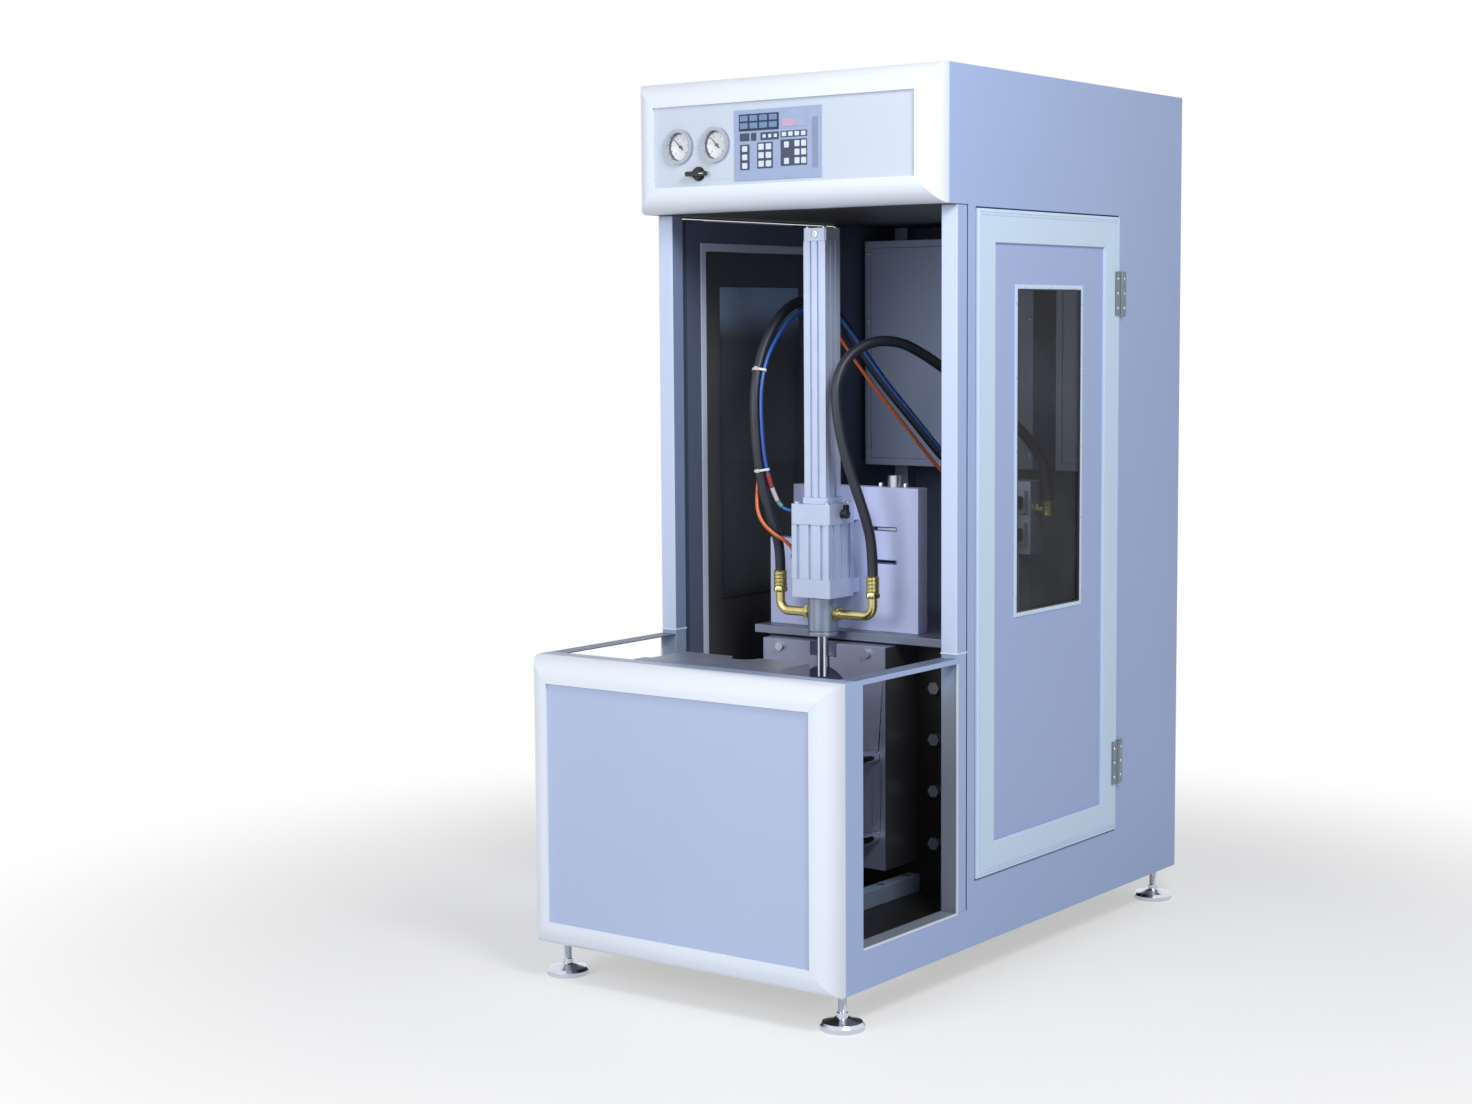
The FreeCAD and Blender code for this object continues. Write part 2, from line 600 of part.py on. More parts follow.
def bezel_bar(length):
    """A straight edge profile along +X from 0, with its opening edge at z = 0 and its front at
    y = 0. The outer edge is rounded over towards the front."""
    def outline(inset):
        width = BEZEL_WIDTH - inset
        radius = BEZEL_RADIUS - inset
        middle = radius * math.sqrt(0.5)
        centre_z = width - radius
        centre_y = inset + radius
        arc = Part.Arc(
            Vector(0, inset, centre_z),
            Vector(0, centre_y - middle, centre_z + middle),
            Vector(0, centre_y, width),
        )
        start = Vector(0, inset, inset)
        end = Vector(0, BEZEL_DEPTH, width)
        foot = Vector(0, BEZEL_DEPTH, inset)
        edges = [
            Part.LineSegment(start, Vector(0, inset, centre_z)).toShape(),
            arc.toShape(),
            Part.LineSegment(Vector(0, centre_y, width), end).toShape(),
            Part.LineSegment(end, foot).toShape(),
            Part.LineSegment(foot, start).toShape(),
        ]
        return Part.Face(Part.Wire(edges)).extrude(Vector(length, 0, 0))

    return outline(0.0).cut(outline(BEZEL_WALL))


def mitred_bezel(front_y, z0, z1):
    """Four bars round a rectangle of the body's width, cut at 45 degrees where they meet."""
    height = z1 - z0
    bars = []
    middle = Vector(0, 0, (z0 + z1) / 2)
    for quarter in range(4):
        length = BODY_WIDTH if quarter % 2 == 0 else height
        across = height if quarter % 2 == 0 else BODY_WIDTH
        bar = bezel_bar(length)
        bar.translate(Vector(-length / 2, front_y, across / 2 - BEZEL_WIDTH))
        outer = across / 2
        inner = outer - BEZEL_WIDTH
        cutter = extruded_face([
            (-length / 2, front_y, outer), (length / 2, front_y, outer),
            (length / 2 - BEZEL_WIDTH, front_y, inner), (-length / 2 + BEZEL_WIDTH, front_y, inner),
        ], (0, BEZEL_DEPTH, 0))
        bar = bar.common(cutter)
        bar.rotate(Vector(0, 0, 0), Vector(0, 1, 0), 90 * quarter)
        bar.translate(middle)
        bars += bar.Solids
    return bars


def make_fronts():
    """The base's and the header's rounded edges, and the flat panels inside them."""
    save("base_bezel", *mitred_bezel(FRONT, GROUND_CLEARANCE, BASE_TOP))
    save("header_bezel", *mitred_bezel(HEADER_FRONT, HEADER_BOTTOM, TOTAL_HEIGHT))
    half_width = HALF - BEZEL_WIDTH
    base_face = FRONT + PANEL_RECESS
    save("base_panel", block(
        -half_width, half_width, base_face, base_face + SHEET,
        GROUND_CLEARANCE + BEZEL_WIDTH, BASE_TOP - BEZEL_WIDTH,
    ))
    panel = block(
        -half_width, half_width, HEADER_FACE, HEADER_FACE + SHEET,
        HEADER_BOTTOM + BEZEL_WIDTH, TOTAL_HEIGHT - BEZEL_WIDTH,
    )
    for x in GAUGE_X:
        panel = panel.cut(along_y(
            x, HEADER_FACE, HEADER_FACE + SHEET, GAUGE_HEIGHT, GAUGE_BODY_RADIUS
        ))
    panel = panel.cut(along_y(
        SELECTOR_X, HEADER_FACE, HEADER_FACE + SHEET, SELECTOR_HEIGHT, SELECTOR_NECK_RADIUS
    ))
    panel = panel.cut(block(
        MEMBRANE_LEFT + MEMBRANE_RIM, MEMBRANE_RIGHT - MEMBRANE_RIM, HEADER_FACE, HEADER_FACE + SHEET,
        MEMBRANE_BOTTOM + MEMBRANE_RIM, MEMBRANE_TOP - MEMBRANE_RIM,
    ))
    save("header_panel", one_solid(panel))


def make_feet():
    """Round pads on ball-ended stems, with a lock nut under the frame."""
    shoulder = PAD_RADIUS - 2.5 * PAD_ROUNDING
    profile = [
        (0, 0), (PAD_RADIUS - PAD_ROUNDING, 0), (PAD_RADIUS, PAD_ROUNDING), (PAD_RADIUS, PAD_RIM),
        (shoulder, PAD_RIM + 3 * PAD_ROUNDING),
        (PAD_NECK_RADIUS + 2 * PAD_ROUNDING, PAD_HEIGHT - PAD_ROUNDING),
        (PAD_NECK_RADIUS, PAD_HEIGHT), (0, PAD_HEIGHT),
    ]
    pad = Part.Face(Part.makePolygon([Vector(r, 0, z) for r, z in profile + profile[:1]]))
    pad = pad.revolve(Vector(0, 0, 0), Vector(0, 0, 1), 360)
    stem = upright(0, 0, PAD_HEIGHT, GROUND_CLEARANCE, STEM_RADIUS)
    collar = upright(0, 0, PAD_HEIGHT, PAD_HEIGHT + STEM_COLLAR, STEM_COLLAR_RADIUS)
    nut_bottom = GROUND_CLEARANCE - FOOT_NUT_THICKNESS
    nut = hexagon((0, 0, nut_bottom), (0, 0, 1), FOOT_NUT, FOOT_NUT_THICKNESS)
    stem = one_solid(stem.fuse([collar, nut]))
    feet = []
    foot_x = HALF - FOOT_SIDE_INSET
    for x in (-foot_x, foot_x):
        for y in (SIDE_FRONT + FOOT_FRONT_INSET, REAR - FOOT_REAR_INSET):
            feet += [piece.translated(Vector(x, y, 0)) for piece in (pad, stem)]
    save("levelling_feet", *feet)


# ---- doors ----
def door_bar(length, across, quarter):
    """One mitred bar of a door frame, in the plane of the door, about the door's centre."""
    outer = across / 2
    inner = outer - DOOR_PROFILE_WIDTH
    back = DOOR_FACE - DOOR_PROFILE_DEPTH
    bar = extruded_face([
        (back, -length / 2, outer), (back, length / 2, outer),
        (back, length / 2 - DOOR_PROFILE_WIDTH, inner),
        (back, -length / 2 + DOOR_PROFILE_WIDTH, inner),
    ], (DOOR_PROFILE_DEPTH, 0, 0))
    bar.rotate(Vector(0, 0, 0), Vector(1, 0, 0), 90 * quarter)
    return bar


def make_right_door():
    """Frame, panel, pane and hinge leaves of the door on the +X side."""
    depth = DOOR_REAR - DOOR_FRONT
    height = DOOR_TOP - DOOR_BOTTOM
    centre = Vector(0, (DOOR_FRONT + DOOR_REAR) / 2, (DOOR_BOTTOM + DOOR_TOP) / 2)
    frame = []
    for quarter in range(4):
        length, across = (depth, height) if quarter % 2 == 0 else (height, depth)
        bar = door_bar(length, across, quarter)
        frame.append(bar.translated(centre))
    panel_x = DOOR_FACE - DOOR_PANEL_RECESS - SHEET
    panel = block(
        panel_x, panel_x + SHEET,
        DOOR_FRONT + DOOR_PROFILE_WIDTH, DOOR_REAR - DOOR_PROFILE_WIDTH,
        DOOR_BOTTOM + DOOR_PROFILE_WIDTH, DOOR_TOP - DOOR_PROFILE_WIDTH,
    )
    panel = panel.cut(block(
        panel_x, panel_x + SHEET, WINDOW_FRONT, WINDOW_REAR,
        WINDOW_BOTTOM, WINDOW_TOP,
    ))
    pane = block(
        panel_x - PANE_THICKNESS, panel_x,
        WINDOW_FRONT - PANE_MARGIN, WINDOW_REAR + PANE_MARGIN,
        WINDOW_BOTTOM - PANE_MARGIN, WINDOW_TOP + PANE_MARGIN,
    )
    return {
        "door_frame": frame,
        "door_panel": [one_solid(panel)],
        "door_pane": [pane],
        "door_hinge_leaves": [door_leaf(z) for z in HINGE_HEIGHTS],
    }


def hinge_axis():
    return HALF + KNUCKLE_RADIUS, DOOR_REAR + HINGE_AXIS_BACK


def knuckle(z0, z1):
    x, y = hinge_axis()
    barrel = upright(x, y, z0, z1, KNUCKLE_RADIUS)
    return barrel.cut(upright(x, y, z0, z1, HINGE_PIN_RADIUS + HINGE_CLEARANCE))


def door_leaf(middle):
    """The leaf on the door, with the middle knuckle."""
    x, y = hinge_axis()
    third = HINGE_HEIGHT / 3 - 2 * HINGE_CLEARANCE
    leaf_x = DOOR_FACE + HINGE_LEAF
    edge = DOOR_REAR
    plate = block(
        DOOR_FACE, leaf_x, edge - HINGE_LEAF_WIDTH, edge,
        middle - HINGE_HEIGHT / 2, middle + HINGE_HEIGHT / 2,
    )
    tongue = block(DOOR_FACE, leaf_x, edge, y, middle - third / 2, middle + third / 2)
    leaf = plate.fuse([tongue, upright(x, y, middle - third / 2, middle + third / 2, KNUCKLE_RADIUS)])
    bore = HINGE_PIN_RADIUS + HINGE_CLEARANCE
    return one_solid(leaf.cut(upright(x, y, middle - third / 2, middle + third / 2, bore)))


def fixed_leaf(middle):
    """The leaf on the cabinet, with two knuckles and the pin pressed into them."""
    x, y = hinge_axis()
    edge = y + KNUCKLE_RADIUS
    bottom = middle - HINGE_HEIGHT / 2
    top = middle + HINGE_HEIGHT / 2
    third = HINGE_HEIGHT / 3
    leaf = block(HALF, HALF + HINGE_LEAF, edge, edge + HINGE_LEAF_WIDTH, bottom, top)
    for z0, z1 in ((bottom, bottom + third), (top - third, top)):
        leaf = leaf.fuse([
            block(HALF, HALF + HINGE_LEAF, y, edge, z0, z1), upright(x, y, z0, z1, KNUCKLE_RADIUS)
        ])
    pin = upright(x, y, bottom, top, HINGE_PIN_RADIUS)
    return one_solid(leaf.fuse(pin))


def make_doors():
    for name, solids in make_right_door().items():
        save("right_" + name, *solids)
        save("left_" + name, *[mirrored(solid) for solid in solids])
    leaves = [fixed_leaf(z) for z in HINGE_HEIGHTS]
    save("hinge_fixed_leaves", *leaves, *[mirrored(leaf) for leaf in leaves])


# ---- mould and clamp ----
def tie_bar_places():
    half = TIE_BAR_SPACING / 2
    return [(x, z) for x in (-half, half) for z in (TIE_BAR_LOW, TIE_BAR_HIGH)]


def locator_places():
    return [(x, MOULD_TOP - LOCATOR_DROP) for x in (-LOCATOR_SPACING / 2, LOCATOR_SPACING / 2)]


def bored_for_tie_bars(shape, y0, y1, radius):
    for x, z in tie_bar_places():
        shape = shape.cut(along_y(x, y0, y1, z, radius))
    return shape


def bottle(y):
    """The bottle's outer form, with its neck and the pocket for the neck ring, about a vertical
    axis at this y."""
    base_radius = BASE_EDGE_RADIUS
    shoulder = SHOULDER_BOTTOM
    rim = MOULD_TOP - POCKET_DEPTH
    pocket = HEAD_RADIUS + POCKET_CLEARANCE
    corner = base_radius * math.sqrt(0.5)
    body = CAVITY_RADIUS
    lowest = CAVITY_BOTTOM

    def line(r0, z0, r1, z1):
        return Part.LineSegment(Vector(r0, 0, z0), Vector(r1, 0, z1)).toShape()

    heel = Part.Arc(
        Vector(body - base_radius, 0, lowest),
        Vector(body - base_radius + corner, 0, lowest + base_radius - corner),
        Vector(body, 0, lowest + base_radius),
    ).toShape()
    rise = NECK_BOTTOM - shoulder
    out, up = SHOULDER_FULLNESS
    slope = Part.Arc(
        Vector(body, 0, shoulder),
        Vector(NECK_RADIUS + (body - NECK_RADIUS) * out, 0, shoulder + rise * up),
        Vector(NECK_RADIUS, 0, NECK_BOTTOM),
    ).toShape()
    edges = [
        line(0, lowest, body - base_radius, lowest), heel,
        line(body, lowest + base_radius, body, shoulder), slope,
        line(NECK_RADIUS, NECK_BOTTOM, NECK_RADIUS, rim), line(NECK_RADIUS, rim, pocket, rim),
        line(pocket, rim, pocket, MOULD_TOP), line(pocket, MOULD_TOP, 0, MOULD_TOP),
        line(0, MOULD_TOP, 0, lowest),
    ]
    form = Part.Face(Part.Wire(edges)).revolve(Vector(0, 0, 0), Vector(0, 0, 1), 360)
    return form.translated(Vector(0, y, 0))


def mould_half(y0, y1, parting, bar_hole):
    half = MOULD_WIDTH / 2
    solid = block(-half, half, y0, y1, MOULD_BOTTOM, MOULD_TOP).cut(bottle(parting))
    return one_solid(bored_for_tie_bars(solid, y0, y1, bar_hole))


def make_clamp_fixed():
    """Bed, rails, rear platen, rear mould half and the clamp cylinder."""
    half_bed = BED_WIDTH / 2
    bar_bore = TIE_BAR_RADIUS + SLIDE_CLEARANCE
    save("bed_plate", block(
        -half_bed, half_bed, SIDE_FRONT, behind(BED_REAR), BED_TOP - BED_THICKNESS, BED_TOP
    ))
    rail_inner = (RAIL_SPACING - RAIL_WIDTH) / 2
    rail = block(
        rail_inner, rail_inner + RAIL_WIDTH, SIDE_FRONT + TUBE, PLATEN_Y, BED_TOP, RAIL_TOP
    )
    save("guide_rails", *both_sides(rail))
    half_platen = REAR_PLATEN_WIDTH / 2
    platen = block(-half_platen, half_platen, PLATEN_Y, CLAMP_Y, BED_TOP, HEAD_PLATE_BOTTOM)
    save("rear_platen", one_solid(bored_for_tie_bars(platen, PLATEN_Y, CLAMP_Y, bar_bore)))
    save("rear_mould_half", mould_half(NOZZLE_Y, PLATEN_Y, NOZZLE_Y, bar_bore))

    barrel_y = CLAMP_Y + CLAMP_FRONT_CAP
    barrel_end = barrel_y + CLAMP_BARREL_LENGTH
    barrel = along_y(0, barrel_y, barrel_end, CLAMP_HEIGHT, CLAMP_BORE_RADIUS + CLAMP_WALL)
    save("clamp_cylinder_barrel", barrel.cut(
        along_y(0, barrel_y, barrel_end, CLAMP_HEIGHT, CLAMP_BORE_RADIUS)
    ))
    half_cap = CLAMP_CAP_SIZE / 2
    low = CLAMP_HEIGHT - half_cap
    high = CLAMP_HEIGHT + half_cap
    front_cap = block(-half_cap, half_cap, CLAMP_Y, barrel_y, low, high)
    rear_cap = block(-half_cap, half_cap, barrel_end, CLAMP_END_Y, low, high)
    rear_cap = rear_cap.cut(along_y(
        0, barrel_end, CLAMP_END_Y, CLAMP_HEIGHT, CLAMP_ROD_RADIUS + SLIDE_CLEARANCE
    ))
    reach = half_cap - CLAMP_TIE_ROD_INSET
    places = [(x, CLAMP_HEIGHT + z) for x in (-reach, reach) for z in (-reach, reach)]
    rods = []
    for x, z in places:
        hole = along_y(x, CLAMP_Y, CLAMP_END_Y, z, CLAMP_TIE_ROD_RADIUS)
        front_cap = front_cap.cut(hole)
        rear_cap = rear_cap.cut(hole)
        nut = hexagon((x, CLAMP_END_Y, z), (0, 1, 0), CLAMP_NUT, CLAMP_NUT_THICKNESS)
        rod = along_y(x, CLAMP_Y, CLAMP_END_Y + CLAMP_ROD_TAIL, z, CLAMP_TIE_ROD_RADIUS)
        rods.append(one_solid(rod.fuse(nut)))
    save("clamp_cylinder_caps", one_solid(front_cap), one_solid(rear_cap))
    save("clamp_cylinder_tie_rods", *rods)


def make_clamp_carriage():
    """What slides back to close the mould, drawn with the mould open."""
    half_platen = FRONT_PLATEN_WIDTH / 2
    mould_y = FRONT_PLATEN_Y + FRONT_PLATEN_THICKNESS
    platen = block(-half_platen, half_platen, FRONT_PLATEN_Y, mould_y, MOULD_BOTTOM, BASE_TOP)
    shoe_x = (RAIL_SPACING - RAIL_WIDTH) / 2 - SHOE_MARGIN
    shoe_bottom = RAIL_TOP + SLIDE_CLEARANCE
    shoes = both_sides(block(
        shoe_x, half_platen, FRONT_PLATEN_Y, mould_y, shoe_bottom, MOULD_BOTTOM
    ))
    platen = bored_for_tie_bars(platen.fuse(shoes), FRONT_PLATEN_Y, mould_y, TIE_BAR_RADIUS)
    save("front_platen", one_solid(platen))
    half_mould = mould_half(mould_y, OPEN_PARTING_Y, OPEN_PARTING_Y, TIE_BAR_RADIUS)
    socket_y = OPEN_PARTING_Y - LOCATOR_PROUD - LOCATOR_CLEARANCE
    for x, z in locator_places():
        half_mould = half_mould.cut(
            along_y(x, socket_y, OPEN_PARTING_Y, z, LOCATOR_RADIUS + LOCATOR_CLEARANCE)
        )
    save("front_mould_half", one_solid(half_mould))

    head_end = CROSSHEAD_Y + CROSSHEAD_THICKNESS
    half_head = TIE_BAR_SPACING / 2 + CROSSHEAD_SIDE_MARGIN
    crosshead = block(
        -half_head, half_head, CROSSHEAD_Y, head_end,
        TIE_BAR_LOW - CROSSHEAD_MARGIN, TIE_BAR_HIGH + CROSSHEAD_MARGIN,
    )
    crosshead = bored_for_tie_bars(crosshead, CROSSHEAD_Y, head_end, TIE_BAR_RADIUS)
    crosshead = crosshead.cut(along_y(0, CROSSHEAD_Y, head_end, CLAMP_HEIGHT, CLAMP_ROD_RADIUS))
    save("crosshead", one_solid(crosshead))

    bars = []
    front_nut_y = FRONT_PLATEN_Y - TIE_BAR_NUT_THICKNESS
    for x, z in tie_bar_places():
        bar = along_y(
            x, front_nut_y - TIE_BAR_TAIL, head_end + TIE_BAR_NUT_THICKNESS + TIE_BAR_TAIL, z,
            TIE_BAR_RADIUS,
        )
        nuts = [
            hexagon((x, y, z), (0, 1, 0), TIE_BAR_NUT, TIE_BAR_NUT_THICKNESS)
            for y in (front_nut_y, head_end)
        ]
        bars.append(one_solid(bar.fuse(nuts)))
    save("tie_bars", *bars)

    piston_y = CLAMP_Y + CLAMP_FRONT_CAP + CLAMP_PISTON_START
    piston = along_y(
        0, piston_y, piston_y + CLAMP_PISTON, CLAMP_HEIGHT, CLAMP_BORE_RADIUS - SLIDE_CLEARANCE
    )
    rod = along_y(0, piston_y, head_end, CLAMP_HEIGHT, CLAMP_ROD_RADIUS)
    save("clamp_piston_rod", one_solid(piston.fuse(rod)))


# ---- blowing head ----
def grooved_column(size, z0, z1, bore, groove_width, groove_depth, places):
    """A square cylinder barrel with grooves down each face and a round bore."""
    half = size / 2
    column = block(-half, half, -half, half, z0, z1)
    for place in places:
        groove = block(
            place - groove_width / 2, place + groove_width / 2, half - groove_depth, half, z0, z1
        )
        for quarter in range(4):
            column = column.cut(groove.rotated(Vector(0, 0, 0), Vector(0, 0, 1), 90 * quarter))
    column = column.cut(upright(0, 0, z0, z1, bore))
    return one_solid(column.translated(Vector(0, NOZZLE_Y, 0)))


def square_cap(size, z0, z1, bore):
    half = size / 2
    cap = block(-half, half, NOZZLE_Y - half, NOZZLE_Y + half, z0, z1)
    corners = [edge for edge in cap.Edges if abs(edge.tangentAt(0).z) > 0.9]
    cap = cap.makeChamfer(CAP_CHAMFER, corners)
    if bore:
        cap = cap.cut(upright(0, NOZZLE_Y, z0, z1, bore))
    return one_solid(cap)


def make_head_plates():
    plate = block(
        -HEAD_PLATE_LEFT, HEAD_PLATE_RIGHT, NOZZLE_Y + HEAD_RADIUS + HEAD_GAP,
        VALVE_Y + VALVE_DEPTH + HEAD_PLATE_MARGIN, HEAD_PLATE_BOTTOM, HEAD_PLATE_TOP,
    )
    rib = extruded_face([
        (-RIB_THICKNESS / 2, CLAMP_Y, HEAD_PLATE_BOTTOM),
        (-RIB_THICKNESS / 2, CLAMP_Y + RIB_REACH, HEAD_PLATE_BOTTOM),
        (-RIB_THICKNESS / 2, CLAMP_Y, HEAD_PLATE_BOTTOM - RIB_HEIGHT),
    ], (RIB_THICKNESS, 0, 0))
    rib_x = REAR_PLATEN_WIDTH / 2 - RIB_INSET
    ribs = [rib.translated(Vector(x, 0, 0)) for x in (-rib_x, rib_x)]
    save("head_base_plate", one_solid(plate.fuse(ribs)))

    half = BACK_PLATE_WIDTH / 2
    back_end = BACK_PLATE_Y + BACK_PLATE_THICKNESS
    back = block(-half, half, BACK_PLATE_Y, back_end, HEAD_PLATE_TOP, BACK_PLATE_TOP)
    cylinder_back = NOZZLE_Y + SEAL_CYLINDER_SIZE / 2
    caps = ((SEAL_CAP_BOTTOM, SEAL_BARREL_BOTTOM), (SEAL_BARREL_TOP, SEAL_CAP_TOP))
    back = back.fuse([
        block(
            -BRACKET_WIDTH / 2, BRACKET_WIDTH / 2, cylinder_back, BACK_PLATE_Y,
            z0 + BRACKET_INSET, z1 - BRACKET_INSET,
        )
        for z0, z1 in caps
    ])
    back = back.cut(block(
        -half, -half + BACK_PLATE_NOTCH_WIDTH, BACK_PLATE_Y, back_end,
        BACK_PLATE_TOP - BACK_PLATE_NOTCH_HEIGHT, BACK_PLATE_TOP,
    ))
    for x, lifts in ((-SLOT_CENTRE, SLOT_LIFTS[:1]), (SLOT_CENTRE, SLOT_LIFTS)):
        for z in [HEAD_PLATE_TOP + lift for lift in lifts]:
            back = back.cut(block(
                x - SLOT_LENGTH / 2, x + SLOT_LENGTH / 2, BACK_PLATE_Y, back_end,
                z - SLOT_HEIGHT / 2, z + SLOT_HEIGHT / 2,
            ))
    save("head_back_plate", one_solid(back))


def make_head_cylinders():
    """The sealing cylinder below and the stretching cylinder on top of it."""
    save("seal_cylinder_barrel", grooved_column(
        SEAL_CYLINDER_SIZE - 2 * SEAL_BARREL_STEP, SEAL_BARREL_BOTTOM, SEAL_BARREL_TOP,
        SEAL_BORE_RADIUS, SEAL_GROOVE, SEAL_GROOVE_DEPTH,
        (-SEAL_GROOVE_PITCH, 0.0, SEAL_GROOVE_PITCH),
    ))
    save(
        "seal_cylinder_caps",
        square_cap(SEAL_CYLINDER_SIZE, SEAL_CAP_BOTTOM, SEAL_BARREL_BOTTOM, ROD_BORE),
        square_cap(SEAL_CYLINDER_SIZE, SEAL_BARREL_TOP, SEAL_CAP_TOP, STRETCH_BORE),
    )
    half_pitch = STRETCH_GROOVE_PITCH / 2
    save("stretch_cylinder_barrel", grooved_column(
        STRETCH_CYLINDER_SIZE, STRETCH_BARREL_BOTTOM, STRETCH_BARREL_TOP, STRETCH_BORE_RADIUS,
        STRETCH_GROOVE, STRETCH_GROOVE_DEPTH, (-half_pitch, half_pitch),
    ))
    save(
        "stretch_cylinder_caps",
        square_cap(STRETCH_FLANGE_SIZE, SEAL_CAP_TOP, STRETCH_BARREL_BOTTOM, STRETCH_BORE),
        square_cap(STRETCH_CAP_SIZE, STRETCH_BARREL_TOP, STRETCH_TOP, 0),
    )


def elbow(reach, side):
    """A brass pipe from the head's side, out along X and up into the hose's ferrule."""
    turn_x = reach - ELBOW_BEND
    across = along_x(HEAD_RADIUS - 1, turn_x, NOZZLE_Y, ELBOW_HEIGHT, ELBOW_RADIUS)
    ring = Part.Face(Part.Wire(Part.makeCircle(
        ELBOW_RADIUS, Vector(turn_x, NOZZLE_Y, ELBOW_HEIGHT), Vector(1, 0, 0)
    )))
    bend = ring.revolve(
        Vector(turn_x, NOZZLE_Y, ELBOW_HEIGHT + ELBOW_BEND), Vector(0, -1, 0), 90
    )
    ferrule_bottom = FERRULE_TOP - FERRULE_LENGTH
    rise = upright(reach, NOZZLE_Y, ELBOW_HEIGHT + ELBOW_BEND, ferrule_bottom, ELBOW_RADIUS)
    ferrule = upright(reach, NOZZLE_Y, ferrule_bottom, FERRULE_TOP, FERRULE_RADIUS)
    nuts = [
        hexagon((HEAD_RADIUS, NOZZLE_Y, ELBOW_HEIGHT), (1, 0, 0), ELBOW_NUT, ELBOW_NUT_THICKNESS),
        hexagon(
            (reach, NOZZLE_Y, ferrule_bottom - ELBOW_NUT_THICKNESS), (0, 0, 1), ELBOW_NUT,
            ELBOW_NUT_THICKNESS,
        ),
    ]
    pipe = across.fuse([bend, rise, ferrule] + nuts)
    pipe = one_solid(pipe.cut(upright(0, NOZZLE_Y, HEAD_BOTTOM, HEAD_TOP, HEAD_RADIUS)))
    return pipe if side > 0 else mirrored(pipe)


def make_blow_head():
    bore = upright(0, NOZZLE_Y, HEAD_BOTTOM, HEAD_TOP, HOLLOW_ROD_RADIUS)
    head = upright(0, NOZZLE_Y, HEAD_BOTTOM, HEAD_TOP, HEAD_RADIUS)
    groove_bottom = HEAD_BOTTOM + HEAD_LIP
    groove_top = groove_bottom + HEAD_GROOVE
    groove = upright(0, NOZZLE_Y, groove_bottom, groove_top, HEAD_RADIUS)
    groove = groove.cut(upright(0, NOZZLE_Y, groove_bottom, groove_top, HEAD_RADIUS - HEAD_GROOVE))
    save("blow_head", one_solid(head.cut(bore).cut(groove)))
    piston_top = SEAL_PISTON_BOTTOM + SEAL_PISTON
    piston = upright(
        0, NOZZLE_Y, SEAL_PISTON_BOTTOM, piston_top, SEAL_BORE_RADIUS - SLIDE_CLEARANCE
    )
    rod = upright(0, NOZZLE_Y, NOZZLE_BOTTOM, piston_top, HOLLOW_ROD_RADIUS)
    hollow = upright(0, NOZZLE_Y, NOZZLE_BOTTOM, piston_top, STRETCH_BORE)
    save("seal_piston_rod", one_solid(rod.fuse(piston).cut(hollow)))
    save("head_elbows", elbow(ELBOW_LEFT, -1), elbow(ELBOW_RIGHT, 1))


def make_stretch_rod():
    piston_top = STRETCH_BARREL_TOP - STRETCH_END_GAP
    piston = upright(
        0, NOZZLE_Y, piston_top - STRETCH_PISTON, piston_top, STRETCH_BORE_RADIUS - SLIDE_CLEARANCE
    )
    rod = upright(0, NOZZLE_Y, STRETCH_ROD_BOTTOM, piston_top, STRETCH_ROD_RADIUS)
    save("stretch_rod", one_solid(rod.fuse(piston)))


# ---- air and electrics ----
def make_valves():
    """A valve block on a stand at the right rear of the head's base plate."""
    x0 = VALVE_X
    x1 = x0 + VALVE_WIDTH
    y1 = VALVE_Y + VALVE_DEPTH
    body = block(x0, x1, VALVE_Y, y1, VALVE_BOTTOM, VALVE_TOP)
    stand_x = x0 + VALVE_INSET
    stand_y = VALVE_Y + VALVE_INSET
    stand = block(
        stand_x, stand_x + VALVE_STAND, stand_y, y1 - VALVE_INSET, HEAD_PLATE_TOP, VALVE_BOTTOM
    )
    foot = block(
        stand_x, x1 + VALVE_FOOT_REACH, stand_y, y1 - VALVE_INSET, HEAD_PLATE_TOP,
        HEAD_PLATE_TOP + VALVE_FOOT,
    )
    save("valve_block", one_solid(body.fuse([stand, foot])))
    save("port_fittings", *valve_fittings(), *cylinder_fittings())


def valve_fittings():
    """The riser of the right hose and the three ports on the valve block's inner face."""
    valve_end = VALVE_X + VALVE_WIDTH
    riser_x = valve_end + RISER_REACH
    riser_y = VALVE_Y + RISER_BACK
    riser_top = VALVE_TOP - RISER_DROP
    arm_z = riser_top - RISER_ARM_DROP
    riser = upright(riser_x, riser_y, riser_top - RISER_HEIGHT, riser_top, HOSE_RADIUS + FITTING_WALL)
    arm = along_x(valve_end, riser_x, riser_y, arm_z, RISER_ARM_RADIUS)
    nut = hexagon((valve_end, riser_y, arm_z), (1, 0, 0), RISER_NUT, RISER_NUT_THICKNESS)
    ports = [
        along_x(VALVE_X - VALVE_PORT_LENGTH, VALVE_X, VALVE_Y + back, VALVE_TOP - drop, radius)
        for (back, drop), radius in (
            (LEFT_PORT, HOSE_RADIUS + FITTING_WALL),
            (BLUE_PORT, SMALL_FITTING_RADIUS),
            (ORANGE_PORT, SMALL_FITTING_RADIUS),
        )
    ]
    return [one_solid(riser.fuse([arm, nut]))] + ports


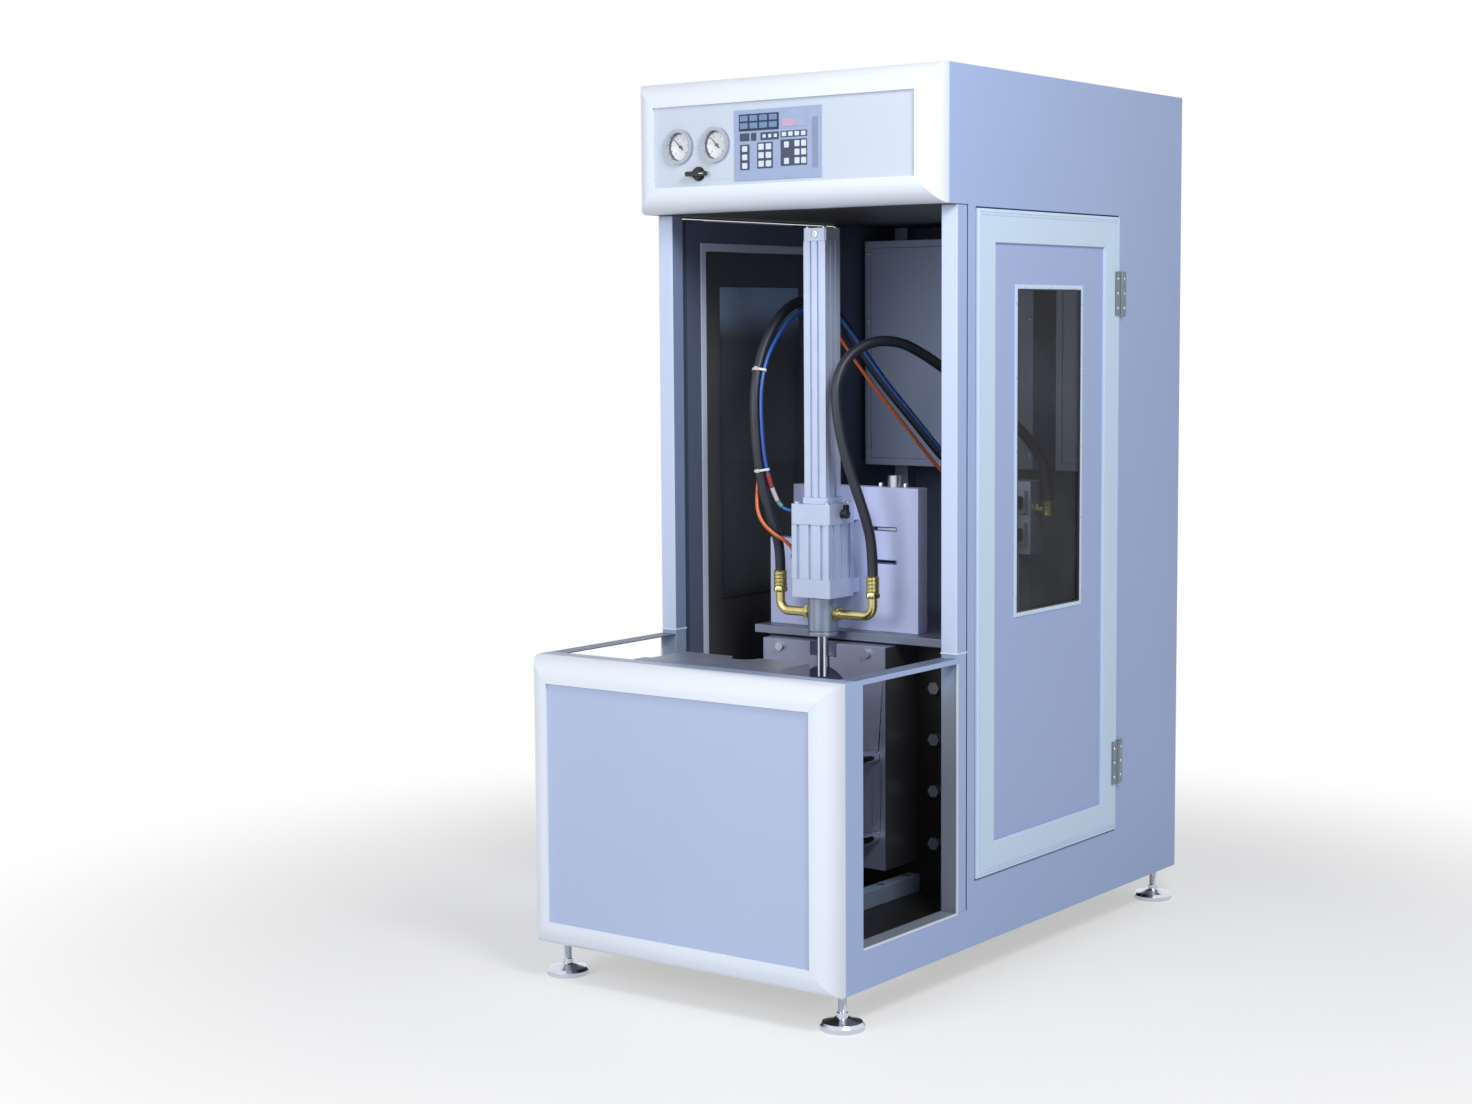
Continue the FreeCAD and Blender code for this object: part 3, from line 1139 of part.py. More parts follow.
def cylinder_fittings():
    """The upper and lower ports on the sealing cylinder's left, and the silencer on its right."""
    half = SEAL_CYLINDER_SIZE / 2
    upper = along_x(
        -half - UPPER_PORT_LENGTH, -half, NOZZLE_Y, SEAL_CAP_TOP - UPPER_PORT_DROP,
        SMALL_FITTING_RADIUS,
    )
    arm_z = SEAL_CAP_BOTTOM + LOWER_PORT_LIFT
    riser_x = -half - LOWER_PORT_REACH
    arm = along_x(riser_x, -half, NOZZLE_Y, arm_z, LOWER_PORT_RADIUS)
    riser = upright(
        riser_x, NOZZLE_Y, arm_z - LOWER_PORT_RADIUS, arm_z + LOWER_PORT_RISE, SMALL_FITTING_RADIUS
    )
    port_z = (SEAL_BARREL_TOP + SEAL_CAP_TOP) / 2
    plug = along_x(half, half + SILENCER_LENGTH, NOZZLE_Y, port_z, SILENCER_RADIUS)
    silencer = upright(
        half + SILENCER_PORT_REACH, NOZZLE_Y, port_z, port_z + UPPER_PORT_DROP, SMALL_FITTING_RADIUS
    )
    return [upper, one_solid(arm.fuse(riser)), one_solid(plug.fuse(silencer))]


def make_electrical_boxes():
    """Sheet boxes with lids, hung on the rear cross rails."""
    y1 = REAR_INNER - TUBE
    y0 = y1 - BOX_DEPTH
    left_edge, right_edge = BOX_INNER_EDGES
    boxes = []
    for x0, x1 in ((BOX_SIDE_MARGIN - INNER, left_edge), (right_edge, TUBE_INNER - BOX_POST_GAP)):
        outer = block(x0, x1, y0, y1, BOX_BOTTOM, BOX_TOP)
        boxes.append(outer.cut(block(
            x0 + SHEET, x1 - SHEET, y0 + SHEET, y1 - SHEET, BOX_BOTTOM + SHEET, BOX_TOP - SHEET
        )))
    save("electrical_boxes", *boxes)


def make_air_inlet():
    """A bulkhead socket: its neck goes through the rear panel and ends flush with it."""
    y0 = REAR_INNER - INLET_DEPTH
    socket = hexagon((INLET_X, y0, INLET_HEIGHT), (0, 1, 0), INLET_HEXAGON, INLET_DEPTH)
    flange = along_y(
        INLET_X, REAR_INNER - INLET_FLANGE, REAR_INNER, INLET_HEIGHT, INLET_FLANGE_RADIUS
    )
    neck = along_y(INLET_X, REAR_INNER, REAR, INLET_HEIGHT, INLET_NECK_RADIUS)
    inlet = socket.fuse([flange, neck])
    save("air_inlet", one_solid(inlet.cut(
        along_y(INLET_X, y0, REAR, INLET_HEIGHT, INLET_RADIUS)
    )))


def make_screws():
    """Hexagon heads on the rear platen, locators on the mould, and the back plate's adjuster."""
    screws = []
    platen_x = REAR_PLATEN_WIDTH / 2 - PLATEN_SCREW_INSET
    for x in (-platen_x, platen_x):
        for drop in PLATEN_SCREW_DROPS:
            place = (x, PLATEN_Y, MOULD_TOP - drop)
            screws.append(hexagon(place, (0, -1, 0), PLATEN_SCREW, PLATEN_SCREW_HEIGHT))
    for x, z in locator_places():
        screws.append(along_y(x, NOZZLE_Y - LOCATOR_PROUD, NOZZLE_Y, z, LOCATOR_RADIUS))
    screws.append(upright(
        ADJUSTER_X, BACK_PLATE_Y + BACK_PLATE_THICKNESS / 2, BACK_PLATE_TOP,
        BACK_PLATE_TOP + ADJUSTER_HEIGHT, ADJUSTER_RADIUS,
    ))
    save("machine_screws", *screws)


# ---- instruments ----
def make_gauges():
    front = HEADER_FACE - GAUGE_PROUD
    dial_y = front + GAUGE_FACE_DEPTH
    dial_back = dial_y + DIAL_THICKNESS
    lens_y = front + LENS_INSET
    cases = []
    dials = []
    lenses = []
    for x in GAUGE_X:
        ring = along_y(x, front, HEADER_FACE, GAUGE_HEIGHT, GAUGE_RING_RADIUS)
        body = along_y(x, HEADER_FACE, HEADER_FACE + GAUGE_DEPTH, GAUGE_HEIGHT, GAUGE_BODY_RADIUS)
        hollow = along_y(x, front, dial_back, GAUGE_HEIGHT, GAUGE_FACE_RADIUS)
        cases.append(one_solid(ring.fuse(body).cut(hollow)))
        dials.append(along_y(x, dial_y, dial_back, GAUGE_HEIGHT, GAUGE_FACE_RADIUS))
        lenses.append(along_y(x, lens_y, lens_y + LENS_THICKNESS, GAUGE_HEIGHT, GAUGE_FACE_RADIUS))
    save("gauge_cases", *cases)
    save("gauge_dials", *dials)
    save("gauge_lenses", *lenses)
    for name, x in zip(("left", "right"), GAUGE_X):
        save(name + "_gauge_needle", needle(x, dial_y))


def needle(x, dial_y):
    """A thin pointer on its hub, turned to the angle that it reads at rest."""
    hub = along_y(0, dial_y - NEEDLE_HUB_LIFT, dial_y - SLIDE_CLEARANCE, 0, NEEDLE_HUB_RADIUS)
    y = dial_y - NEEDLE_LIFT
    pointer = extruded_face([
        (-NEEDLE_TAIL, y, -2 * NEEDLE_THICKNESS), (NEEDLE_TIP, y, -NEEDLE_THICKNESS / 2),
        (NEEDLE_TIP, y, NEEDLE_THICKNESS / 2), (-NEEDLE_TAIL, y, 2 * NEEDLE_THICKNESS),
    ], (0, NEEDLE_THICKNESS, 0))
    shape = one_solid(hub.fuse(pointer))
    shape.rotate(Vector(0, 0, 0), Vector(0, -1, 0), NEEDLE_ANGLE)
    return shape.translated(Vector(x, 0, GAUGE_HEIGHT))


def make_selector():
    ring_y = HEADER_FACE - SELECTOR_RING
    switch_y = HEADER_FACE + SELECTOR_NECK
    half_switch = SELECTOR_SWITCH / 2
    ring = along_y(SELECTOR_X, ring_y, HEADER_FACE, SELECTOR_HEIGHT, SELECTOR_RADIUS)
    neck = along_y(SELECTOR_X, HEADER_FACE, switch_y, SELECTOR_HEIGHT, SELECTOR_NECK_RADIUS)
    switch = block(
        SELECTOR_X - half_switch, SELECTOR_X + half_switch, switch_y, switch_y + SELECTOR_SWITCH_DEPTH,
        SELECTOR_HEIGHT - half_switch, SELECTOR_HEIGHT + half_switch,
    )
    save("selector_body", one_solid(ring.fuse([neck, switch])))
    knob_back = ring_y - SLIDE_CLEARANCE
    disc = along_y(0, knob_back - KNOB_DISC, knob_back, 0, KNOB_DISC_RADIUS)
    half = KNOB_LENGTH / 2
    wing = block(
        -half, half, knob_back - KNOB_HEIGHT, knob_back - KNOB_DISC / 2,
        -KNOB_WIDTH / 2, KNOB_WIDTH / 2,
    )
    ends = [edge for edge in wing.Edges if abs(edge.tangentAt(0).y) > 0.9]
    wing = wing.makeFillet(KNOB_CORNER, ends)
    knob = one_solid(disc.fuse(wing))
    save("selector_knob", knob.translated(Vector(SELECTOR_X, 0, SELECTOR_HEIGHT)))


def make_membrane_panel():
    """The key and display unit: a thin front plate on a closed housing behind the panel."""
    plate = block(
        MEMBRANE_LEFT, MEMBRANE_RIGHT, HEADER_FACE - SHEET, HEADER_FACE, MEMBRANE_BOTTOM, MEMBRANE_TOP
    )
    housing = block(
        MEMBRANE_LEFT + MEMBRANE_RIM, MEMBRANE_RIGHT - MEMBRANE_RIM,
        HEADER_FACE, HEADER_FACE + MEMBRANE_HOUSING,
        MEMBRANE_BOTTOM + MEMBRANE_RIM, MEMBRANE_TOP - MEMBRANE_RIM,
    )
    save("membrane_panel", one_solid(plate.fuse(housing)))


# ---- hoses ----
def hose(name, points, radius):
    """A tube along straight runs joined by tangent arcs, each as large as its runs allow."""
    corners = [Vector(*point) for point in points]
    edges = []
    radii = []
    length = 0.0
    start = corners[0]
    for before, corner, after in zip(corners, corners[1:], corners[2:]):
        run_in = corner - before
        run_out = after - corner
        half_turn = run_in.getAngle(run_out) / 2
        cut_back = 0.45 * min(run_in.Length, run_out.Length)
        bend = cut_back / math.tan(half_turn)
        arc_start = corner - run_in.normalize() * cut_back
        arc_end = corner + run_out.normalize() * cut_back
        inward = (run_out - run_in).normalize()
        to_middle = bend / math.cos(half_turn) - bend
        middle = corner + inward * to_middle
        edges.append(Part.LineSegment(start, arc_start).toShape())
        edges.append(Part.Arc(arc_start, middle, arc_end).toShape())
        length += (arc_start - start).Length + 2 * half_turn * bend
        start = arc_end
        radii.append(bend)
    edges.append(Part.LineSegment(start, corners[-1]).toShape())
    length += (corners[-1] - start).Length
    path = Part.Wire(edges)
    ring = Part.Wire(Part.makeCircle(radius, corners[0], corners[1] - corners[0]))
    solid = path.makePipeShell([ring], True, False)
    ideal = math.pi * radius ** 2 * length
    print("%s length %.0f mm, tightest bend %.0f mm, volume ratio %.4f"
          % (name, length, min(radii), solid.Volume / ideal))
    print("  radii " + " ".join("%.0f" % bend for bend in radii))
    save(name, solid)


def make_hoses():
    hose("right_hose", RIGHT_HOSE, HOSE_RADIUS)
    hose("left_hose", LEFT_HOSE, HOSE_RADIUS)
    hose("blue_tube", BLUE_TUBE, TUBE_RADIUS)
    hose("orange_tube", ORANGE_TUBE, TUBE_RADIUS)


def nearest_run(route, point):
    """The direction of the route's run that passes nearest to the point."""
    runs = [(Vector(*start), Vector(*end)) for start, end in zip(route, route[1:])]
    start, end = min(runs, key=lambda run: (run[0] - point).Length + (run[1] - point).Length)
    return (end - start).normalize()


def make_cable_ties():
    """Nylon ties drawn round the bundle, square to the run of the left hose that they hold."""
    ties = []
    for place, radius in CABLE_TIES:
        centre = Vector(*place)
        direction = nearest_run(LEFT_HOSE, centre)
        start = centre - direction * (CABLE_TIE_WIDTH / 2)
        outer = Part.makeCylinder(radius + CABLE_TIE_THICKNESS, CABLE_TIE_WIDTH, start, direction)
        ties.append(outer.cut(Part.makeCylinder(radius, CABLE_TIE_WIDTH, start, direction)))
    save("cable_ties", *ties)


def main():
    os.makedirs("parts", exist_ok=True)
    make_frame()
    make_cabinet_sheets()
    make_fronts()
    make_feet()
    make_doors()
    make_clamp_fixed()
    make_clamp_carriage()
    make_head_plates()
    make_head_cylinders()
    make_blow_head()
    make_stretch_rod()
    make_valves()
    make_electrical_boxes()
    make_air_inlet()
    make_screws()
    make_gauges()
    make_selector()
    make_membrane_panel()
    make_hoses()
    make_cable_ties()


main()
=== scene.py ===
"""Looks of a semi-automatic stretch blow moulding machine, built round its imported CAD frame.

Every piece is in metres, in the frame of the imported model: +Z is up and the front faces -Y. Most
pieces are CAD solids with their edges rounded and a finish of their own. The rest are built here
from sizes that are read from the CAD nodes that they stand on.
"""

import json
import logging
from collections.abc import Iterable, Sequence
from dataclasses import dataclass, replace
from enum import Enum
from math import cos, pi, radians, sin, tau

import bmesh
import bpy
from bpy.types import Material, Mesh, Object
from mathutils import Matrix, Vector

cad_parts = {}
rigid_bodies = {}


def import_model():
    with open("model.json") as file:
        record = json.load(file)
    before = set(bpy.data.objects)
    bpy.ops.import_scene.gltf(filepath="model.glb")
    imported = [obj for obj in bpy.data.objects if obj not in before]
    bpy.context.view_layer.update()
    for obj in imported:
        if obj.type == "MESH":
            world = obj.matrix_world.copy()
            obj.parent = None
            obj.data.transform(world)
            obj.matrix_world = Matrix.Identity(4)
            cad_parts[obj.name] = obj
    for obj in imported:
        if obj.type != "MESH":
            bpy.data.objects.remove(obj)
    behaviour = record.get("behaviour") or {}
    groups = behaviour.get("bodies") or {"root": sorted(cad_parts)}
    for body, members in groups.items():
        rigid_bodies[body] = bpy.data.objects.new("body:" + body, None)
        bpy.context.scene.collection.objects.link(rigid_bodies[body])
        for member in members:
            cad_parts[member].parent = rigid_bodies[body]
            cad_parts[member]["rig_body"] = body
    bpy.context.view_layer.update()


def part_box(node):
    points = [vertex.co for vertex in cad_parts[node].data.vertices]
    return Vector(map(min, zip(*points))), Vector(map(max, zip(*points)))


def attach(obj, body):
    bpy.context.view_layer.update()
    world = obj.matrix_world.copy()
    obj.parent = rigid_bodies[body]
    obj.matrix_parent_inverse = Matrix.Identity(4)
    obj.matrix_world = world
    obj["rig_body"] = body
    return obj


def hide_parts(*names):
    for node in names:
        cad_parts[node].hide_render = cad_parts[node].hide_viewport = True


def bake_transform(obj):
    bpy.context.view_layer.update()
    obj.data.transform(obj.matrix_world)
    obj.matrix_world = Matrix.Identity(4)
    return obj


LOG = logging.getLogger("blow_moulding_machine")
MM = 0.001

# Where the nozzle, the mould's parting face and the front row of ports lie, from front to back.
NOZZLE_Y = -0.189

Colour = tuple[float, float, float, float]
Spot = tuple[float, float]
Point = tuple[float, float, float]
ORIGIN: Point = (0.0, 0.0, 0.0)


class Body(str, Enum):
    """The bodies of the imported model."""

    CABINET = "cabinet"
    RIGHT_DOOR = "right_door"
    LEFT_DOOR = "left_door"
    CLAMP = "clamp_carriage"
    HEAD = "blow_head"
    ROD = "stretch_rod"
    KNOB = "selector_knob"
    LEFT_NEEDLE = "left_gauge_needle"
    RIGHT_NEEDLE = "right_gauge_needle"


class Axis(Enum):
    """Directions in which a turned or extruded piece can point."""

    RIGHT = (1.0, 0.0, 0.0)
    LEFT = (-1.0, 0.0, 0.0)
    BACK = (0.0, 1.0, 0.0)
    FRONT = (0.0, -1.0, 0.0)
    UP = (0.0, 0.0, 1.0)


class Edge(Enum):
    """The form of one ring of a turned profile."""

    ROUND = "round"
    HEXAGON = "hexagon"


def srgb(*parts: float) -> Colour:
    """Gives the linear colour of a paint that a colour chart states as sRGB.

    Args:
        *parts: Red, green and blue, from 0 to 255.

    Returns:
        The colour, as a shader socket takes it.
    """
    linear = [
        v / 12.92 if v <= 0.04045 else ((v + 0.055) / 1.055) ** 2.4
        for v in (part / 255 for part in parts)
    ]
    return (linear[0], linear[1], linear[2], 1.0)


def scaled(colour: Colour, factor: float) -> Colour:
    """A colour made darker or lighter by a factor."""
    return (colour[0] * factor, colour[1] * factor, colour[2] * factor, 1.0)


def linked(name: str, data: bpy.types.ID) -> Object:
    """A new object in the scene.

    Args:
        name: Its name.
        data: Its mesh, curve, lamp or camera.

    Returns:
        The object.
    """
    made = bpy.data.objects.new(name, data)
    bpy.context.scene.collection.objects.link(made)
    return made


def evaluated(holder: Object) -> Mesh:
    """Takes the mesh that an object makes with its modifiers.

    Args:
        holder: The object, which is removed.

    Returns:
        The mesh.
    """
    ready = holder.evaluated_get(bpy.context.evaluated_depsgraph_get())
    mesh = bpy.data.meshes.new_from_object(ready)
    bpy.data.objects.remove(holder)
    return mesh


# ---- node graphs ----
class Signal:
    """A node's output socket, on which Python's operators add Math nodes."""

    def __init__(self, graph: "Graph", socket: bpy.types.NodeSocket | None) -> None:
        """Wraps a socket of the graph."""
        self.graph = graph
        self.socket = socket

    def _math(self, operation: str, *values: "Signal | float") -> "Signal":
        """Adds one Math node over this signal and further values."""
        inputs = dict(enumerate(values))
        return self.graph.node("ShaderNodeMath", {"operation": operation}, inputs)

    def __add__(self, other: "Signal | float") -> "Signal":
        """Sum."""
        return self._math("ADD", self, other)

    __radd__ = __add__

    def __sub__(self, other: "Signal | float") -> "Signal":
        """Difference."""
        return self._math("SUBTRACT", self, other)

    def __rsub__(self, other: float) -> "Signal":
        """Difference, with the number first."""
        return self._math("SUBTRACT", other, self)

    def __mul__(self, other: "Signal | float") -> "Signal":
        """Product."""
        return self._math("MULTIPLY", self, other)

    __rmul__ = __mul__

    def __truediv__(self, other: "Signal | float") -> "Signal":
        """Quotient."""
        return self._math("DIVIDE", self, other)

    def __mod__(self, other: float) -> "Signal":
        """Remainder, never negative."""
        return self._math("FLOORED_MODULO", self, other)

    def __lt__(self, other: "Signal | float") -> "Signal":
        """1 where this signal is the smaller, else 0."""
        return self._math("LESS_THAN", self, other)

    def __gt__(self, other: "Signal | float") -> "Signal":
        """1 where this signal is the larger, else 0."""
        return self._math("GREATER_THAN", self, other)

    def __abs__(self) -> "Signal":
        """Size without sign."""
        return self._math("ABSOLUTE", self)

    def floor(self) -> "Signal":
        """Whole part."""
        return self._math("FLOOR", self)

    def sine(self) -> "Signal":
        """Sine of an angle in radians."""
        return self._math("SINE", self)

    def ramp(self, low: float, high: float) -> "Signal":
        """Goes smoothly from 0 at low to 1 at high."""
        return self.graph.node(
            "ShaderNodeMapRange", {"interpolation_type": "SMOOTHSTEP"},
            {"Value": self, "From Min": low, "From Max": high},
        )


class Graph:
    """A node tree that is filled through one method."""

    def __init__(self, tree: bpy.types.NodeTree) -> None:
        """Starts on a tree."""
        self.tree = tree

    def node(
        self,
        kind: str,
        settings: dict[str, object] | None = None,
        inputs: dict[str | int, object] | None = None,
        output: str | int = 0,
    ) -> Signal:
        """Adds a node.

        Args:
            kind: The node's type name.
            settings: Its properties, set before its sockets are filled.
            inputs: Values or signals, by socket name or number.
            output: The output that is wanted.

        Returns:
            That output as a signal.
        """
        made = self.tree.nodes.new(kind)
        for name, value in (settings or {}).items():
            setattr(made, name, value)
        for name, value in (inputs or {}).items():
            if isinstance(value, Signal):
                self.tree.links.new(value.socket, made.inputs[name])
            else:
                made.inputs[name].default_value = value
        return Signal(self, made.outputs[output] if made.outputs else None)


class Shader(Graph):
    """A material's node tree, with the textures that the finishes share."""

    def __init__(self, name: str) -> None:
        """Makes an empty material.

        Args:
            name: The material's name.
        """
        self.material = bpy.data.materials.new(name)
        self.material.use_nodes = True
        self.material.node_tree.nodes.clear()
        super().__init__(self.material.node_tree)
        self.place = self.node("ShaderNodeTexCoord", output="Object")

    def axis(self, name: str) -> Signal:
        """One coordinate of the shaded point, in metres."""
        return self.node("ShaderNodeSeparateXYZ", inputs={0: self.place}, output=name)

    def stretched(self, scale: Point) -> Signal:
        """The shaded point with each coordinate multiplied."""
        return self.node(
            "ShaderNodeVectorMath", {"operation": "MULTIPLY"}, {0: self.place, 1: scale}
        )

    def noise(self, scale: float, detail: float = 2.0, place: Signal | None = None) -> Signal:
        """Noise from 0 to 1 with about `scale` cells to the metre."""
        return self.node(
            "ShaderNodeTexNoise", inputs={
                "Vector": place or self.place, "Scale": scale, "Detail": detail, "Roughness": 0.55
            },
        )

    def blend(self, factor: Signal, first: Colour | Signal, second: Colour | Signal) -> Signal:
        """Mixes two colours."""
        return self.node(
            "ShaderNodeMix", {"data_type": "RGBA"}, {0: factor, 6: first, 7: second}, output=2
        )

    def bump(self, height: Signal, depth: float, strength: float = 1.0) -> Signal:
        """Turns a height from 0 to 1 into a normal; depth is in metres."""
        return self.node(
            "ShaderNodeBump", inputs={"Height": height, "Distance": depth, "Strength": strength}
        )

    def surface(self, **inputs: object) -> Material:
        """Ends the material in a Principled shader.

        Args:
            **inputs: Its sockets, with underscores for spaces.

        Returns:
            The finished material.
        """
        sockets = {name.replace("_", " "): value for name, value in inputs.items()}
        self.end(self.node("ShaderNodeBsdfPrincipled", inputs=sockets))
        return self.material

    def end(self, shader: Signal) -> None:
        """Links a shader to the material's output."""
        self.node("ShaderNodeOutputMaterial", inputs={"Surface": shader})


class Pattern(Graph):
    """A Geometry Nodes tree that copies one prototype, with named inputs for its sizes."""

    SOCKETS = {int: "NodeSocketInt", float: "NodeSocketFloat", tuple: "NodeSocketVector"}

    def __init__(self, name: str, sizes: dict[str, int | float | Point]) -> None:
        """Makes the tree and one input for each size.

        Args:
            name: The tree's name.
            sizes: The value of each named input.
        """
        tree = bpy.data.node_groups.new(name, "GeometryNodeTree")
        super().__init__(tree)
        tree.interface.new_socket("Prototype", in_out="INPUT", socket_type="NodeSocketGeometry")
        self.identifiers = {}
        for key, value in sizes.items():
            socket = tree.interface.new_socket(
                key, in_out="INPUT", socket_type=self.SOCKETS[type(value)]
            )
            self.identifiers[key] = socket.identifier
        tree.interface.new_socket("Copies", in_out="OUTPUT", socket_type="NodeSocketGeometry")
        self.sizes = sizes
        self.entry = tree.nodes.new("NodeGroupInput")

    def size(self, name: str) -> Signal:
        """One named input."""
        return Signal(self, self.entry.outputs[name])

    def times(self, vector: Signal, factor: Signal) -> Signal:
        """A vector multiplied by a number."""
        return self.node(
            "ShaderNodeVectorMath", {"operation": "SCALE"}, {0: vector, "Scale": factor}
        )

    def plus(self, first: Signal, second: Signal) -> Signal:
        """The sum of two vectors."""
        return self.node("ShaderNodeVectorMath", {"operation": "ADD"}, {0: first, 1: second})

    def copies(self, count: Signal, place: Signal, turn: Signal | None = None) -> Signal:
        """Instances of the prototype at places worked out from the index.

        Args:
            count: How many.
            place: The place of each.
            turn: The turn of each.

        Returns:
            The instances.
        """
        points = self.node("GeometryNodePoints", inputs={"Count": count, "Position": place})
        inputs: dict[str | int, object] = {"Points": points, "Instance": self.size("Prototype")}
        if turn is not None:
            inputs["Rotation"] = turn
        return self.node("GeometryNodeInstanceOnPoints", inputs=inputs)

    def bake(self, geometry: Signal, prototype: Mesh, finish: "Finish") -> Mesh:
        """Runs the tree once.

        Args:
            geometry: The instances that the tree makes.
            prototype: The mesh that is copied.
            finish: The finish of every copy.

        Returns:
            A plain mesh.
        """
        real = self.node("GeometryNodeRealizeInstances", inputs={"Geometry": geometry})
        painted = self.node("GeometryNodeSetMaterial", inputs={
            "Geometry": real, "Material": Finishes.material(finish)
        })
        last = self.tree.nodes.new("NodeGroupOutput")
        self.tree.links.new(painted.socket, last.inputs[0])
        holder = linked(self.tree.name, prototype)
        modifier = holder.modifiers.new("pattern", "NODES")
        modifier.node_group = self.tree
        for key, value in self.sizes.items():
            modifier[self.identifiers[key]] = value
        mesh = evaluated(holder)
        return mesh


def grid_of(
    prototype: Mesh, finish: "Finish", start: Point, along: Point, count: int,
    across: Point = ORIGIN, rows: int = 1,
) -> Mesh:
    """Copies a mesh over a row or a grid.

    Args:
        prototype: The mesh, about its own origin.
        finish: Its finish.
        start: Place of the first copy.
        along: Step from one copy of a row to the next.
        count: Copies in a row.
        across: Step from one row to the next.
        rows: Number of rows.

    Returns:
        One mesh of all the copies.
    """
    pattern = Pattern("copies_on_a_grid", {
        "Count": count, "Rows": rows, "Start": start, "Along": along, "Across": across
    })
    index = pattern.node("GeometryNodeInputIndex")
    column = index % pattern.size("Count")
    row = (index / pattern.size("Count")).floor()
    place = pattern.plus(
        pattern.size("Start"),
        pattern.plus(
            pattern.times(pattern.size("Along"), column), pattern.times(pattern.size("Across"), row)
        ),
    )
    total = pattern.size("Count") * pattern.size("Rows")
    return pattern.bake(pattern.copies(total, place), prototype, finish)


def ring_of(
    prototype: Mesh, finish: "Finish", centre: Point, axis: Point, count: int,
    first: float, step: float,
) -> Mesh:
    """Copies a mesh round an axis.

    Args:
        prototype: The mesh, drawn about the centre as the origin.
        finish: Its finish.
        centre: The point that the copies turn about.
        axis: The direction of the axis.
        count: Number of copies.
        first: Angle of the first copy, in radians.
        step: Angle from one copy to the next.

    Returns:
        One mesh of all the copies.
    """
    pattern = Pattern("copies_on_a_ring", {
        "Count": count, "Centre": centre, "Axis": axis, "First": first, "Step": step
    })
    index = pattern.node("GeometryNodeInputIndex")
    angle = pattern.size("First") + index * pattern.size("Step")
    turn = pattern.node(
        "FunctionNodeAxisAngleToRotation", inputs={"Axis": pattern.size("Axis"), "Angle": angle}
    )
    made = pattern.copies(pattern.size("Count"), pattern.size("Centre"), turn)
    return pattern.bake(made, prototype, finish)


# ---- finishes ----
# Within these planes lie the inner faces of the cabinet's sheets.
INNER_FACE = 0.3764
POST_INNER_FACE = 0.3755
REAR_INNER_FACE = 0.7088
TOP_INNER_FACE = 1.8492
# Below this height a darker painted shade begins on the base's inner faces, and it fades in over
# this length.
BASE_HEIGHT = 0.66
BASE_FADE = 0.1


@dataclass(frozen=True)
class Paint:
    """Powder coat: a fine orange peel over a colour that varies slightly.

    The faces inside the cabinet can have another colour: `inside`, which is painted shade on all
    but the frame tubes, where it is their own lighter paint; `low` is painted shade in the base,
    and `left` is painted shade on what lies between the left wall and the middle plane.
    """

    slot: str
    colour: Colour
    inside: Colour | None = None
    roughness: float = 0.42
    peel: float = 0.00009
    low: Colour | None = None
    inner_face: float = INNER_FACE
    left: Colour | None = None
    left_face: float = 0.0
    coat: float = 0.06
    specular: float = 0.32

    def build(self) -> Material:
        """Makes the material.

        Returns:
            The painted material.
        """
        shader = Shader(self.slot)
        cloud = shader.noise(2.2, 3.0)
        colour = shader.blend(cloud, scaled(self.colour, 0.95), scaled(self.colour, 1.03))
        # Inner faces get painted shade (the frame tubes their own lighter paint), fading to the
        # base's painted shade low down, with painted shade on the left post's inner face.
        if self.inside is not None:
            across, height = shader.axis("X"), shader.axis("Z")
            within = (abs(across) < self.inner_face) * (shader.axis("Y") < REAR_INNER_FACE)
            within = within * (height < TOP_INNER_FACE)
            inner_paint_or_shade = shader.blend(
                height.ramp(BASE_HEIGHT - BASE_FADE, BASE_HEIGHT), self.low or self.inside,
                self.inside,
            )
            if self.left is not None:
                facing = (across > self.left_face) * (across < 0.0)
                inner_paint_or_shade = shader.blend(facing, inner_paint_or_shade, self.left)
            colour = shader.blend(within, colour, inner_paint_or_shade)
        skin = shader.noise(620.0, 2.0)
        rough = self.roughness - 0.05 + shader.noise(40.0, 3.0) * 0.1
        return shader.surface(
            Base_Color=colour, Roughness=rough, Normal=shader.bump(skin, self.peel, 0.35),
            Coat_Weight=self.coat, Coat_Roughness=0.28, Specular_IOR_Level=self.specular,
        )


@dataclass(frozen=True)
class Steel:
    """Machined, ground or polished steel or aluminium, with the grain of its last cut.

    What lies further from the middle plane than `flank_x` can have a darker colour, painted shade
    on the sides.
    """

    slot: str
    colour: Colour
    roughness: float = 0.32
    grain: Point = (900.0, 14.0, 14.0)
    depth: float = 0.000012
    stain: float = 0.12
    metallic: float = 1.0
    flank_shade: Colour | None = None
    flank_x: float = 0.1564

    def build(self) -> Material:
        """Makes the material.

        Returns:
            The metal.
        """
        shader = Shader(self.slot)
        lines = shader.noise(1.0, 4.0, shader.stretched(self.grain))
        patches = shader.noise(18.0, 4.0)
        stained = scaled(self.colour, 1 - self.stain)
        colour = shader.blend(patches.ramp(0.35, 0.75), self.colour, stained)
        # Painted shade on the sides beyond `flank_x`.
        if self.flank_shade is not None:
            colour = shader.blend(abs(shader.axis("X")) > self.flank_x, colour, self.flank_shade)
        rough = self.roughness - 0.06 + lines * 0.1 + patches * 0.06
        return shader.surface(
            Base_Color=colour, Metallic=self.metallic, Roughness=rough,
            Normal=shader.bump(lines, self.depth, 0.5),
        )


